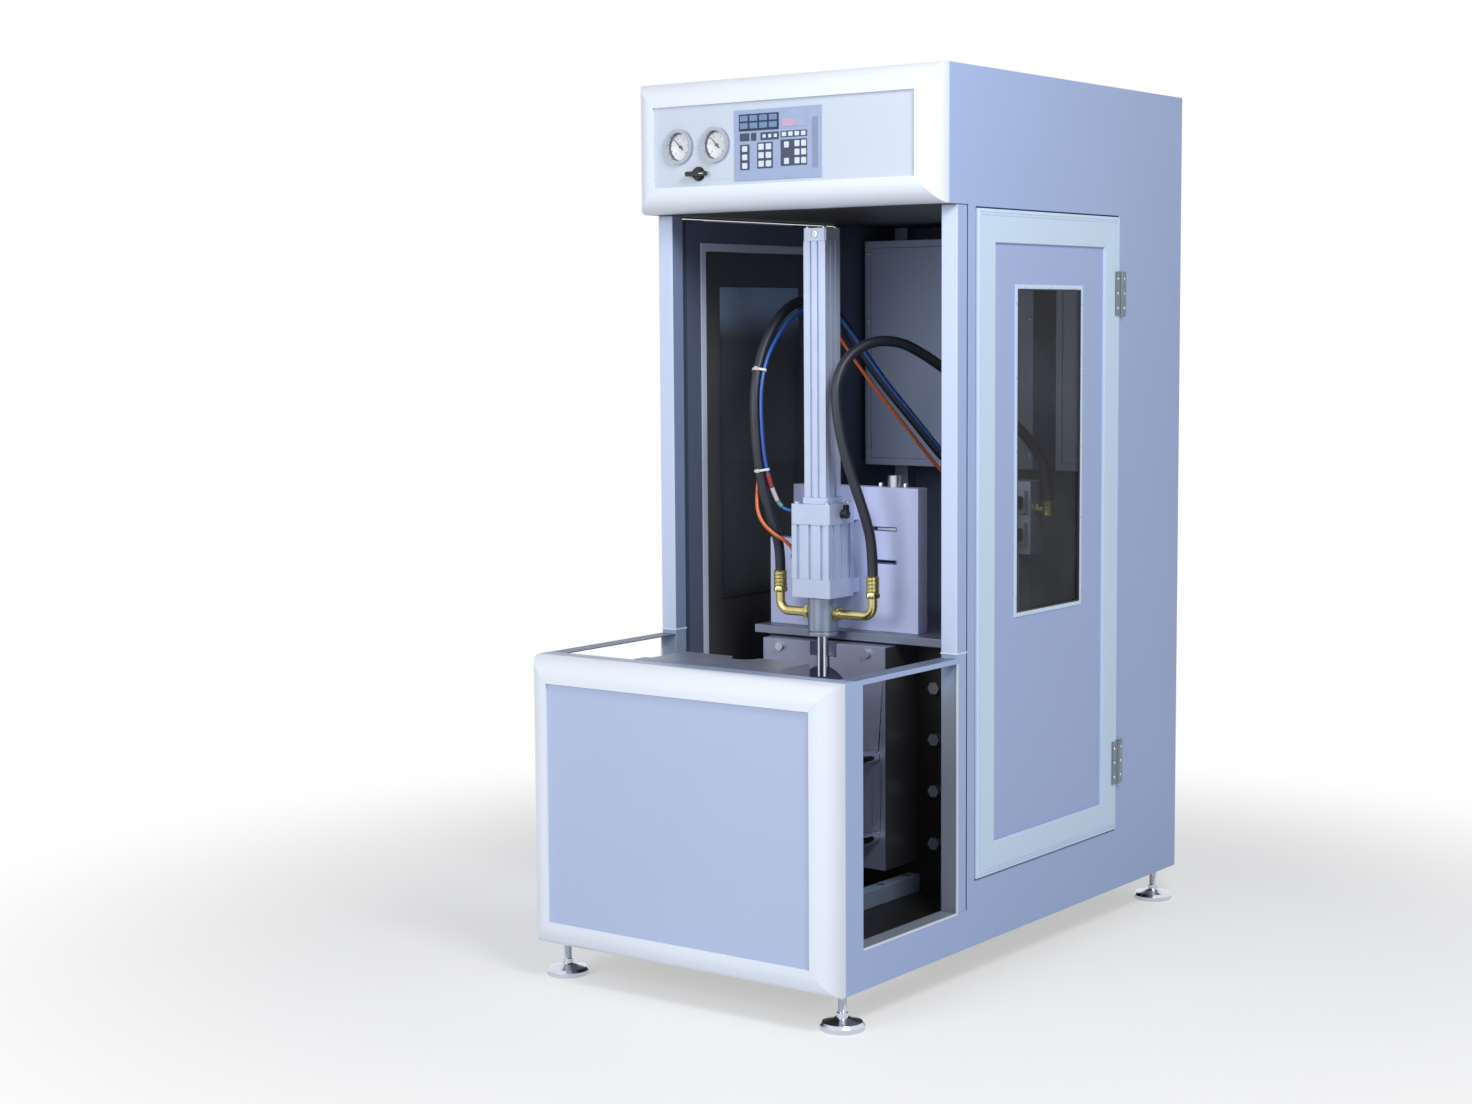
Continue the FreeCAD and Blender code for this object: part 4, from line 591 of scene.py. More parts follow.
@dataclass(frozen=True)
class Plastic:
    """Moulded plastic or rubber with a fine spark-eroded skin."""

    slot: str
    colour: Colour
    roughness: float = 0.45
    skin: float = 1400.0
    depth: float = 0.00003

    def build(self) -> Material:
        """Makes the material.

        Returns:
            The plastic.
        """
        shader = Shader(self.slot)
        cloud = shader.noise(35.0, 3.0)
        colour = shader.blend(cloud, scaled(self.colour, 0.88), scaled(self.colour, 1.1))
        return shader.surface(
            Base_Color=colour, Roughness=self.roughness - 0.05 + cloud * 0.1,
            Normal=shader.bump(shader.noise(self.skin, 2.0), self.depth, 0.5),
        )


@dataclass(frozen=True)
class Hose:
    """Rubber hose cover: the weave of its wrapping shows faintly, and it is rubbed in places."""

    slot: str
    colour: Colour
    roughness: float = 0.38
    weave: float = 900.0

    def build(self) -> Material:
        """Makes the material, whose weave follows the hose through its UV map.

        Returns:
            The rubber.
        """
        shader = Shader(self.slot)
        flat = shader.node("ShaderNodeUVMap", {"uv_map": "along"})
        around, length = (
            shader.node("ShaderNodeSeparateXYZ", inputs={0: flat}, output=name) for name in "XY"
        )
        turns = (around * tau * 2 + length * self.weave).sine()
        back = (around * tau * 2 - length * self.weave).sine()
        threads = turns * back * 0.5 + 0.5
        rub = shader.noise(26.0, 4.0)
        colour = shader.blend(rub.ramp(0.5, 0.8), self.colour, scaled(self.colour, 2.1))
        return shader.surface(
            Base_Color=colour, Roughness=self.roughness + rub * 0.14,
            Normal=shader.bump(threads, 0.00007, 0.4),
        )


@dataclass(frozen=True)
class Glass:
    """Flat toughened glass, tinted by its thickness, with faint smears.

    A pane can be lighter above `fade_top`, as painted light.
    """

    slot: str
    colour: Colour
    cover: float
    upper: Colour | None = None
    fade_bottom: float = 1.30
    fade_top: float = 1.40

    def build(self) -> Material:
        """Makes the material.

        Returns:
            The glass.
        """
        shader = Shader(self.slot)
        smear = shader.noise(7.0, 4.0).ramp(0.45, 0.8)
        tint: Colour | Signal = self.colour
        # The lighter colour above `fade_top` is painted light.
        if self.upper is not None:
            fade = shader.axis("Z").ramp(self.fade_bottom, self.fade_top)
            tint = shader.blend(fade, self.colour, self.upper)
        return shader.surface(
            Base_Color=shader.blend(smear * 0.3, tint, srgb(96, 98, 104)),
            Roughness=0.03 + smear * 0.05, Alpha=self.cover + smear * 0.03, IOR=1.5,
            Specular_IOR_Level=0.12,
        )


Finish = Paint | Steel | Plastic | Hose | Glass

PANEL_BLUE = srgb(168, 188, 230)
# Painted shade on the inner faces of the cabinet's sheets and of the door frames.
PAINTED_SHADE_BLUE = srgb(96, 108, 134)
# Painted shade under the top panel and on the header's ceiling over the bay.
CEILING_SHADE_GREY = srgb(84, 80, 74)
# Inside the base the inner faces get a near-black painted shade.
CABINET_PAINT = Paint("cabinet_paint", PANEL_BLUE, PAINTED_SHADE_BLUE, low=srgb(44, 40, 40))
TOP_PAINT = Paint("cabinet_paint", PANEL_BLUE, CEILING_SHADE_GREY, 0.8, coat=0.0, specular=0.02)
# The header's ceiling is painted shade all over.
CEILING_PAINT = Paint("cabinet_paint", CEILING_SHADE_GREY)
EDGE_PAINT = Paint("white_edge_paint", srgb(230, 238, 250), roughness=0.34, peel=0.00006)
FRONT_PAINT = Paint("front_panel_paint", srgb(180, 195, 226))
# A lighter copy of the front panel paint on the header, as painted light from overhead.
LIT_HEADER_PAINT = Paint("front_panel_paint", srgb(202, 213, 229))
# The door frames' inner faces get painted shade.
DOOR_PAINT = Paint("door_paint", srgb(210, 232, 255), PAINTED_SHADE_BLUE, roughness=0.36)
# The door panels' inner faces get a grey painted shade.
DOOR_PANEL_PAINT = Paint("door_panel_paint", srgb(170, 187, 230), srgb(88, 88, 92))
# The frame tubes' own lighter paint inside the cabinet, with painted shade on the left post's inner
# face.
FRAME_PAINT = Paint(
    "frame_paint", PANEL_BLUE, srgb(202, 216, 244), roughness=0.38, inner_face=POST_INNER_FACE,
    left=srgb(138, 154, 190), left_face=-0.3384,
)
# A darker copy of the frame paint for the tubes and sills in the base: painted shade, greyer low
# down.
SHADED_FRAME_PAINT = Paint(
    "frame_paint", PANEL_BLUE, srgb(150, 168, 198), roughness=0.38, low=srgb(136, 146, 160),
    inner_face=POST_INNER_FACE,
)
BEAD_PAINT = Paint("door_paint", srgb(214, 224, 246), roughness=0.36)
BOX_PAINT = Paint("box_paint", srgb(176, 192, 226), roughness=0.5, peel=0.00012)
BACK_PLATE_PAINT = Paint("machined_steel", srgb(206, 216, 255), roughness=0.4)

CLEAR_GLASS = Glass("glass", srgb(26, 24, 22), 0.44)
# A nearly opaque grey pane: painted shade for the dark view through the left door's window, lighter
# and bluer at its top as painted light.
PAINTED_SHADE_GLASS = Glass("glass", srgb(84, 86, 94), 0.94, srgb(168, 196, 232))
LENS_GLASS = Glass("glass", srgb(210, 220, 230), 0.08)

# Cells of grain to the metre along X, Y and Z: the last cut runs where they are few.
MILLED = (520.0, 60.0, 16.0)
HINGE_STEEL = Steel("stainless_hinge", srgb(126, 136, 146), 0.36, grain=(14.0, 14.0, 700.0))
POLISHED = Steel(
    "polished_steel", srgb(214, 219, 228), 0.14, grain=(40.0, 40.0, 900.0), depth=0.000006,
    stain=0.05,
)
RAIL_STEEL = Steel(
    "polished_steel", srgb(150, 170, 200), 0.3, grain=(40.0, 900.0, 40.0), depth=0.000008,
    stain=0.08, metallic=0.35,
)
BLACK_STEEL = Steel(
    "machined_steel", srgb(44, 42, 42), 0.42, grain=MILLED, depth=0.00002, stain=0.15, metallic=0.5
)
MACHINED = Steel(
    "machined_steel", srgb(132, 140, 162), 0.38, grain=MILLED, depth=0.00002, metallic=0.5
)
SCREW_STEEL = Steel(
    "screw_steel", srgb(196, 202, 212), 0.3, grain=(300.0, 300.0, 300.0), depth=0.00001
)
MOULD_METAL = Steel(
    "mould_aluminium", srgb(142, 148, 168), 0.34, grain=(26.0, 26.0, 640.0), depth=0.00001,
    metallic=0.5,
)
# The rear mould half's sides are painted dark, as painted shade.
REAR_MOULD_METAL = replace(MOULD_METAL, colour=srgb(148, 154, 180), flank_shade=srgb(84, 84, 90))
CYLINDER_METAL = Steel(
    "cylinder_aluminium", srgb(192, 204, 230), 0.42, grain=(900.0, 900.0, 9.0), stain=0.06,
    metallic=0.4,
)
HEAD_METAL = Steel(
    "cylinder_aluminium", srgb(150, 162, 184), 0.3, grain=(30.0, 30.0, 1100.0), depth=0.00001,
    stain=0.1, metallic=0.6,
)
BRASS = Steel(
    "brass", srgb(206, 194, 132), 0.27, grain=(260.0, 260.0, 260.0), depth=0.00001, stain=0.2
)
CHROME = Steel(
    "chrome", srgb(184, 192, 204), 0.16, grain=(40.0, 900.0, 40.0), depth=0.000004, stain=0.04
)

DIAL_WHITE = Plastic("dial_white", srgb(252, 253, 255), 0.5, 500.0, 0.00001)
DIAL_PRINT = replace(DIAL_WHITE, colour=srgb(24, 26, 32))
NEEDLE_BLACK = Plastic("needle_black", srgb(22, 22, 26), 0.4)
BLACK_PLASTIC = Plastic("black_plastic", srgb(26, 28, 31), 0.38)
KEY_PLASTIC = Plastic("key_unit_plastic", srgb(154, 172, 208), 0.42, 700.0, 0.00003)
RUBBER = Hose("hose_rubber", srgb(28, 32, 46))
SOFT_RUBBER = Plastic("hose_rubber", srgb(40, 42, 48), 0.62)
BLUE_PLASTIC = Plastic("blue_plastic", srgb(40, 92, 176), 0.24, 300.0, 0.00001)
ORANGE_PLASTIC = Plastic("orange_plastic", srgb(214, 104, 44), 0.26, 300.0, 0.00001)
NYLON = Plastic("nylon", srgb(228, 228, 220), 0.4, 500.0, 0.00001)


class Finishes:
    """Makes each finish once."""

    made: dict[Finish, Material] = {}

    @classmethod
    def material(cls, finish: Finish) -> Material:
        """The material of a finish.

        Args:
            finish: The finish.

        Returns:
            The same material each time.
        """
        if finish not in cls.made:
            cls.made[finish] = finish.build()
        return cls.made[finish]


# ---- meshes ----
# Faces that meet at less than this are one flat face, and at more than this a sharp edge.
FLAT_ANGLE = radians(0.6)
SHARP_ANGLE = radians(32)


@dataclass(frozen=True)
class Span:
    """The box of one solid, in metres."""

    low: Vector
    high: Vector

    @classmethod
    def round_points(cls, places: Iterable[Vector]) -> "Span":
        """The box that just holds some points."""
        columns = list(zip(*places))
        return cls(Vector([min(c) for c in columns]), Vector([max(c) for c in columns]))

    @property
    def centre(self) -> Vector:
        """Middle of the box."""
        return (self.low + self.high) / 2

    @property
    def size(self) -> Vector:
        """Lengths of its sides."""
        return self.high - self.low

    def face(self, side: int) -> float:
        """The x of its right face if the side is 1, and of its left face if it is -1."""
        return self.high.x if side > 0 else self.low.x


def span(node: str) -> Span:
    """The box of a CAD node."""
    return Span(*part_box(node))


def placed(origin: Sequence[float], axis: Axis | Vector = Axis.UP, turn: float = 0.0) -> Matrix:
    """Where a piece that is drawn about +Z goes.

    Args:
        origin: The place of its origin.
        axis: The direction that its +Z gets.
        turn: Its turn about that direction, in degrees.

    Returns:
        The matrix that puts it there.
    """
    direction = Vector(axis.value) if isinstance(axis, Axis) else axis
    tilt = direction.to_track_quat("Z", "Y").to_matrix().to_4x4()
    return Matrix.Translation(Vector(origin)) @ tilt @ Matrix.Rotation(radians(turn), 4, "Z")


def frame_at(place: Sequence[float], *axes: Vector) -> Matrix:
    """Where a piece goes whose three axes get new directions.

    Args:
        place: The place of its origin.
        *axes: The directions that its +X, +Y and +Z get.

    Returns:
        The matrix that puts it there.
    """
    frame = Matrix(axes).transposed().to_4x4()
    frame.translation = Vector(place)
    return frame


def cad_solids(node: Object) -> list[bmesh.types.BMesh]:
    """Splits a CAD node's loose triangles into its closed shells.

    Args:
        node: The CAD node.

    Returns:
        A working mesh for each shell, with shared corners.
    """
    shells = []
    open_edges: set[tuple[Point, Point]] = set()
    triangles: list[list[Point]] = []
    for polygon in node.data.polygons:
        corners = [
            tuple(round(c, 6) for c in node.data.vertices[index].co) for index in polygon.vertices
        ]
        triangles.append(corners)
        for first, second in zip(corners, corners[1:] + corners[:1]):
            if first != second:
                open_edges ^= {(min(first, second), max(first, second))}
        if not open_edges:
            shells.append(triangles)
            triangles = []
    if triangles:
        shells.append(triangles)
    made = []
    for faces in shells:
        mesh = bmesh.new()
        corners = {}
        for face in faces:
            for corner in face:
                if corner not in corners:
                    corners[corner] = mesh.verts.new(corner)
            if len(set(face)) == 3:
                try:
                    mesh.faces.new([corners[corner] for corner in face])
                except ValueError:
                    continue
        made.append(mesh)
    return made


def solid_spans(node: str) -> list[Span]:
    """The boxes of a CAD node's solids.

    Args:
        node: The node's name.

    Returns:
        The boxes, in the order of the node.
    """
    spans = []
    for mesh in cad_solids(bpy.data.objects[node]):
        spans.append(Span.round_points(vert.co for vert in mesh.verts))
        mesh.free()
    return spans


def hole_in(node: str) -> Span:
    """The box of the opening in a flat CAD sheet.

    Args:
        node: The sheet's name.

    Returns:
        The box of the corners that aren't on the sheet's rim.
    """
    whole = span(node)
    wide = [k for k in range(3) if whole.size[k] > 0.01]
    return Span.round_points(
        vertex.co for vertex in bpy.data.objects[node].data.vertices
        if all(whole.low[k] + MM < vertex.co[k] < whole.high[k] - MM for k in wide)
    )


def rounded(mesh: bmesh.types.BMesh, name: str, bevel: float, segments: int) -> Mesh:
    """Turns a working mesh into a finished one with its sharp edges rounded.

    Args:
        mesh: The working mesh, which is freed.
        name: Name of the result.
        bevel: Width of the rounding in metres, or 0 for none.
        segments: Steps of the rounding.

    Returns:
        The finished mesh, shaded smooth up to its edges.
    """
    data = bpy.data.meshes.new(name)
    mesh.to_mesh(data)
    mesh.free()
    data.shade_smooth()
    data.set_sharp_from_angle(angle=SHARP_ANGLE)
    if not bevel:
        return data
    holder = linked(name, data)
    modifier = holder.modifiers.new("edges", "BEVEL")
    modifier.width = bevel
    modifier.segments = segments
    modifier.limit_method = "ANGLE"
    modifier.angle_limit = SHARP_ANGLE
    modifier.harden_normals = True
    finished = evaluated(holder)
    bpy.data.meshes.remove(data)
    return finished


def add_piece(
    name: str, mesh: Mesh, finish: Finish, body: Body, stands_for: Iterable[str] = ()
) -> Object:
    """Puts a finished mesh into the scene.

    Args:
        name: The piece's name.
        mesh: Its mesh, in the machine's frame.
        finish: Its finish.
        body: The body that it moves with.
        stands_for: The CAD nodes that it replaces.

    Returns:
        The piece.
    """
    mesh.materials.clear()
    mesh.materials.append(Finishes.material(finish))
    mesh.polygons.foreach_set("material_index", [0] * len(mesh.polygons))
    piece = linked(name, mesh)
    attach(piece, body.value)
    nodes = list(stands_for)
    if nodes:
        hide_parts(*nodes)
    LOG.info("%s rides on %s in %s", name, body.value, finish.slot)
    return piece


class Shape:
    """A working mesh that is put together from turned, extruded and swept forms."""

    def __init__(self) -> None:
        """Starts empty."""
        self.mesh = bmesh.new()

    def skin(self, rings: list[list[bmesh.types.BMVert]], closed: bool = False) -> None:
        """Joins neighbouring rings of corners with faces.

        Args:
            rings: The rings; one of a single corner is a pole.
            closed: Whether the last ring joins the first one.
        """
        for first, second in zip(rings, rings[1:] + (rings[:1] if closed else [])):
            sides = max(len(first), len(second))
            for k in range(sides):
                after = (k + 1) % sides
                corners = [first[k % len(first)], first[after % len(first)]]
                corners += [second[after % len(second)], second[k % len(second)]]
                unique = list(dict.fromkeys(corners))
                if len(unique) > 2:
                    self.mesh.faces.new(unique)

    def turned(
        self, profile: Sequence[tuple], where: Matrix | None = None, sides: int = 48
    ) -> "Shape":
        """Turns a profile about +Z.

        Args:
            profile: Radius and height of each ring, and optionally its Edge; a hexagon's radius
                is half its width across flats.
            where: The matrix that puts it in place.
            sides: Corners in a ring, a multiple of 12.

        Returns:
            This shape.
        """
        matrix = where or Matrix.Identity(4)
        flat = tau / 6
        rings = []
        for radius, height, *form in profile:
            if radius < 1e-7:
                rings.append([self.mesh.verts.new(matrix @ Vector((0, 0, height)))])
                continue
            edge = form[0] if form else Edge.ROUND
            ring = []
            for k in range(sides):
                angle = tau * k / sides
                reach = radius
                if edge is Edge.HEXAGON:
                    reach = radius / cos(angle % flat - flat / 2)
                ring.append(self.mesh.verts.new(
                    matrix @ Vector((reach * cos(angle), reach * sin(angle), height))
                ))
            rings.append(ring)
        self.skin(rings)
        return self

    def block(
        self, low: Sequence[float], high: Sequence[float], where: Matrix | None = None
    ) -> "Shape":
        """A box between two corners."""
        outline = [(low[0], low[1]), (high[0], low[1]), (high[0], high[1]), (low[0], high[1])]
        return self.prism(outline, low[2], high[2], where)

    def prism(
        self, outline: Sequence[Spot], bottom: float, top: float,
        where: Matrix | None = None,
    ) -> "Shape":
        """Extrudes an outline in XY.

        Args:
            outline: Its corners.
            bottom: Height of the lower face.
            top: Height of the upper face.
            where: The matrix that puts it in place.

        Returns:
            This shape.
        """
        matrix = where or Matrix.Identity(4)
        rings = [
            [self.mesh.verts.new(matrix @ Vector((x, y, height))) for x, y in outline]
            for height in (bottom, top)
        ]
        self.skin(rings)
        self.mesh.faces.new(rings[0])
        self.mesh.faces.new(rings[1])
        return self

    def rounded_plate(
        self, width: float, height: float, radius: float, bottom: float, top: float,
        where: Matrix | None = None,
    ) -> "Shape":
        """A plate about the origin with rounded corners.

        Args:
            width: Its width along X.
            height: Its height along Y.
            radius: Radius of its corners.
            bottom: Height of its lower face.
            top: Height of its upper face.
            where: The matrix that puts it in place.

        Returns:
            This shape.
        """
        steps = 6
        outline = []
        for quarter in range(4):
            centre_x = (width / 2 - radius) * (1 if quarter in (0, 3) else -1)
            centre_y = (height / 2 - radius) * (1 if quarter in (0, 1) else -1)
            for k in range(steps + 1):
                angle = pi / 2 * (quarter + k / steps)
                outline.append((centre_x + radius * cos(angle), centre_y + radius * sin(angle)))
        return self.prism(outline, bottom, top, where)

    def swept(
        self, line: Sequence[Vector], radius: float, sides: int = 20, mapped: bool = False
    ) -> "Shape":
        """A round tube along a line, with closed ends.

        Args:
            line: Points of its centreline.
            radius: Its radius.
            sides: Corners in a section.
            mapped: Whether it gets a UV map, turns across and metres along.

        Returns:
            This shape.
        """
        rings = []
        reaches = [0.0]
        for first, second in zip(line, line[1:]):
            reaches.append(reaches[-1] + (second - first).length)
        side = (line[1] - line[0]).orthogonal().normalized()
        for k, point in enumerate(line):
            ahead = (line[min(k + 1, len(line) - 1)] - line[max(k - 1, 0)]).normalized()
            side = (side - ahead * side.dot(ahead)).normalized()
            other = ahead.cross(side)
            ring = []
            for n in range(sides):
                angle = tau * n / sides
                spoke = side * cos(angle) + other * sin(angle)
                ring.append(self.mesh.verts.new(point + spoke * radius))
            rings.append(ring)
        if mapped:
            layer = self.mesh.loops.layers.uv.new("along")
        for k, (first, second) in enumerate(zip(rings, rings[1:])):
            for n in range(sides):
                after = (n + 1) % sides
                face = self.mesh.faces.new((first[n], first[after], second[after], second[n]))
                if mapped:
                    spots = ((n, k), (n + 1, k), (n + 1, k + 1), (n, k + 1))
                    for loop, (turn, step) in zip(face.loops, spots):
                        loop[layer].uv = (turn / sides, reaches[step])
        self.mesh.faces.new(rings[0])
        self.mesh.faces.new(rings[-1])
        return self

    def framed(
        self, profile: Sequence[Spot], width: float, height: float, where: Matrix,
        gap: float = 0.0,
    ) -> "Shape":
        """Four mitred bars round a rectangle in XY, as picture frames are made.

        Args:
            profile: Corners of the bar's section: how far in from the outer edge, and how high.
            width: Outer width of the rectangle.
            height: Outer height of the rectangle.
            where: The matrix that puts it in place.
            gap: Half the open joint between two bars.

        Returns:
            This shape.
        """
        for quarter in range(4):
            length, across = (width, height) if quarter % 2 == 0 else (height, width)
            turn = where @ Matrix.Rotation(pi / 2 * quarter, 4, "Z")
            ends = []
            for sign in (-1, 1):
                ends.append([
                    self.mesh.verts.new(turn @ Vector((
                        sign * (length / 2 - inward - gap), across / 2 - inward, rise
                    )))
                    for inward, rise in profile
                ])
            self.skin(ends)
            self.mesh.faces.new(ends[0])
            self.mesh.faces.new(ends[1])
        return self

    def joined(self, mesh: Mesh) -> "Shape":
        """Adds a finished mesh."""
        self.mesh.from_mesh(mesh)
        return self

    def grid(self, *layout: object) -> "Shape":
        """Adds copies of a mesh, laid out as `grid_of` says."""
        return self.joined(grid_of(*layout))

    def data(self, name: str, bevel: float = 0.0, segments: int = 2) -> Mesh:
        """The finished mesh, with its faces turned outwards; `rounded` says what is asked."""
        bmesh.ops.recalc_face_normals(self.mesh, faces=self.mesh.faces)
        return rounded(self.mesh, name, bevel, segments)

    def piece(
        self, name: str, finish: Finish, bevel: float = 0.0, segments: int = 2,
        stands_for: Iterable[str] = (), body: Body = Body.CABINET,
    ) -> Object:
        """The finished piece in the scene."""
        return add_piece(name, self.data(name, bevel, segments), finish, body, stands_for)


def dress(node: str, finish: Finish, bevel: float = 0.0008, segments: int = 2) -> Object:
    """Gives a CAD node rounded edges and a finish, on a copy that replaces it.

    Args:
        node: Name of the CAD node.
        finish: Its finish.
        bevel: Width of the rounding of its edges.
        segments: Steps of the rounding.

    Returns:
        The piece that replaces the node.
    """
    source = bpy.data.objects[node]
    whole = bmesh.new()
    for solid in cad_solids(source):
        bmesh.ops.dissolve_limit(
            solid, angle_limit=FLAT_ANGLE, verts=solid.verts, edges=solid.edges
        )
        part = bpy.data.meshes.new(node + "_solid")
        solid.to_mesh(part)
        solid.free()
        whole.from_mesh(part)
        bpy.data.meshes.remove(part)
    body = Body(source["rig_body"])
    return add_piece(node + "_dressed", rounded(whole, node, bevel, segments), finish, body, [node])


def dress_all(rows: Iterable[tuple]) -> None:
    """Dresses CAD nodes, each given as the arguments of `dress`."""
    for row in rows:
        dress(*row)


# Each kind of screw head: the corners of its rings, and each ring in parts of radius and height.
CAP_SCREW = (24, (
    (0, 0), (1, 0), (1, 0.86), (0.93, 1), (0.6344, 1), (0.52, 0.93, Edge.HEXAGON),
    (0.52, 0.45, Edge.HEXAGON), (0, 0.4),
))
PAN_HEAD = (12, (
    (0, 0), (1, 0), (0.96, 0.24), (0.8, 0.468), (0.5, 0.582), (0.36, 0.6, Edge.HEXAGON),
    (0.36, 0.24, Edge.HEXAGON), (0, 0.21),
))
FLUSH_HEAD = (12, (
    (0, -1), (1, -1), (1, 0.5), (0.92, 1), (0.46, 1), (0.38, 0.8, Edge.HEXAGON),
    (0.38, 0.1, Edge.HEXAGON), (0, 0.1),
))


def screw_head(kind: tuple[int, tuple], radius: float, height: float = 0.0) -> Mesh:
    """A screw's head about +Z, with a hexagonal socket.

    Args:
        kind: Its kind.
        radius: Its radius.
        height: Its height, or 0 where its rings are in parts of the radius alone.

    Returns:
        The head.
    """
    sides, rings = kind
    unit = height or radius
    profile = [(part * radius, rise * unit, *edge) for part, rise, *edge in rings]
    return Shape().turned(profile, sides=sides).data("screw_head")


def facing(mesh: Mesh, axis: Axis) -> Mesh:
    """A copy of a prototype that is drawn about +Z.

    Args:
        mesh: The prototype.
        axis: The direction that the copy faces.

    Returns:
        The copy.
    """
    copy = mesh.copy()
    copy.transform(placed(ORIGIN, axis))
    return copy


def ribs(rings: Sequence[Spot], start: float, pitch: float, count: int) -> list[tuple]:
    """A turned profile's ribs: a few rings again and again, each pitch higher."""
    return [(radius, start + pitch * k + rise) for k in range(count) for radius, rise in rings]


def capped(rings: list[tuple]) -> list[tuple]:
    """A turned profile closed by a flat face at each end."""
    return [(0.0, rings[0][1]), *rings, (0.0, rings[-1][1])]


def hexagon_part(across: float, bottom: float, top: float) -> list[tuple]:
    """A hexagonal collar with chamfered corners, for a turned profile.

    Args:
        across: Its width across flats.
        bottom: Height of its lower face.
        top: Height of its upper face.

    Returns:
        Its rings.
    """
    chamfer = min(0.12 * across, (top - bottom) * 0.3)
    return [
        (across / 2 * 0.97, bottom), (across / 2, bottom + chamfer * 0.6, Edge.HEXAGON),
        (across / 2, top - chamfer * 0.6, Edge.HEXAGON), (across / 2 * 0.97, top),
    ]


# ---- the machine ----
@dataclass
class Cabinet:
    """Folded sheets, rounded edge profiles and the welded frame."""

    shortest_post: float = 0.6
    post_joint: float = 0.010
    collar_above: float = 0.001
    collar_below: float = 0.0022
    collar_proud: float = 0.0009
    opening_bottom: float = 0.155
    opening_top: float = 0.664
    opening_front: float = -0.604
    opening_rear: float = -0.2635
    highlight_depth: float = 0.003
    highlight_proud: float = 0.0009
    sill_depth: float = 0.0395
    louvre_x: float = 0.12
    louvre_length: float = 0.12
    louvre_height: float = 0.005
    louvre_pitch: float = 0.022
    louvre_count: int = 8
    louvre_bottom: float = 1.326
    screw_radius: float = 0.0045
    screw_proud: float = 0.0004
    screw_inset: float = 0.02
    upright_pitch: float = 0.2055
    top_pitch: float = 0.2215
    first_screw: float = 0.06
    first_cross_screw: float = 0.12

    def build(self) -> None:
        """Makes the cabinet."""
        dress_all((
            ("right_side_panel", CABINET_PAINT, 0.0007),
            ("left_side_panel", CABINET_PAINT, 0.0007),
            ("rear_panel", CABINET_PAINT, 0.0006),
            ("top_panel", TOP_PAINT, 0.0006),
            ("header_ceiling", CEILING_PAINT, 0.0006),
            ("base_bezel", EDGE_PAINT, 0.0006),
            ("header_bezel", EDGE_PAINT, 0.0006),
            ("base_panel", FRONT_PAINT, 0.0006),
            ("header_panel", LIT_HEADER_PAINT, 0.0005),
        ))
        self.frame_tubes()
        self.opening_edge_highlights()
        self.louvre_hoods()
        self.cover_screws()

    def frame_tubes(self) -> None:
        """Square tubes with rolled corners, and a collar where a post passes the base's top."""
        upper, lower, collars = Shape(), Shape(), Shape()
        around = Vector((self.collar_proud, self.collar_proud, 0.0))
        joint = span("base_bezel").high.z + self.post_joint
        for tube in solid_spans("frame"):
            low, high = tube.low.copy(), tube.high.copy()
            if high.z < joint:
                lower.block(low, high)
                continue
            if low.z < joint and tube.size.z > self.shortest_post:
                lower.block(low, (high.x, high.y, joint))
                if low.y < 0:
                    collars.block(
                        Vector((low.x, low.y, joint - self.collar_below)) - around,
                        Vector((high.x, high.y, joint + self.collar_above)) + around,
                    )
                low.z = joint
            upper.block(low, high)
        upper.piece("frame_tubes", FRAME_PAINT, 0.0028, 3, ["frame"])
        # The tubes in the base get the darker paint with painted shade.
        lower.piece("base_frame_tubes", SHADED_FRAME_PAINT, 0.0028, 3)
        collars.piece("post_collars", EDGE_PAINT, 0.0004)

    def opening_edge_highlights(self) -> None:
        """The pale strip at the bottom and the rear of each low side opening, a painted highlight
        on the sheet's edge, and its sill.
        """
        edge_highlights, sills = Shape(), Shape()
        front, rear, bottom = self.opening_front, self.opening_rear, self.opening_bottom
        for side, node in ((1, "right_side_panel"), (-1, "left_side_panel")):
            face = span(node).face(side)
            depth = face - side * self.highlight_depth
            near, far = sorted((depth, face + side * self.highlight_proud))
            # Pale strips: painted highlights on the opening's edges.
            edge_highlights.block((near, front, bottom - 0.0028), (far, rear, bottom + 0.0012))
            edge_highlights.block((near, rear - 0.0014, bottom), (far, rear + 0.0024, self.opening_top))
            near, far = sorted((face - side * self.sill_depth, depth))
            sills.block(
                (near, front + 0.001, bottom - 0.0004), (far, rear - 0.001, bottom + 0.0006)
            )
        edge_highlights.piece("opening_edge_highlights", EDGE_PAINT, 0.0004)
        sills.piece("opening_sills", SHADED_FRAME_PAINT)

    def louvre_hoods(self) -> None:
        """The metal that is pressed inwards over each cooling slot of the rear panel."""
        inside = span("rear_panel").low.y
        steps = 6
        angles = [pi / 2 * k / steps for k in range(steps + 1)]
        outer, inner = (
            [
                (
                    inside - reach * sin(angle),
                    self.louvre_height + above - fall * (1 - cos(angle)),
                )
                for angle in angles
            ]
            for reach, above, fall in ((0.008, 0.002, 0.009), (0.0065, 0.0005, 0.0075))
        )
        half = self.louvre_length / 2
        section_to_yz = Matrix(((0, 0, 1, 0), (1, 0, 0, 0), (0, 1, 0, 0), (0, 0, 0, 1)))
        hood = Shape().prism(outer + inner[::-1], -half, half, section_to_yz).data("hood")
        Shape().grid(
            hood, CABINET_PAINT, (-self.louvre_x, 0.0, self.louvre_bottom),
            (0.0, 0.0, self.louvre_pitch), self.louvre_count, (2 * self.louvre_x, 0.0, 0.0), 2,
        ).piece("louvre_hoods", CABINET_PAINT)

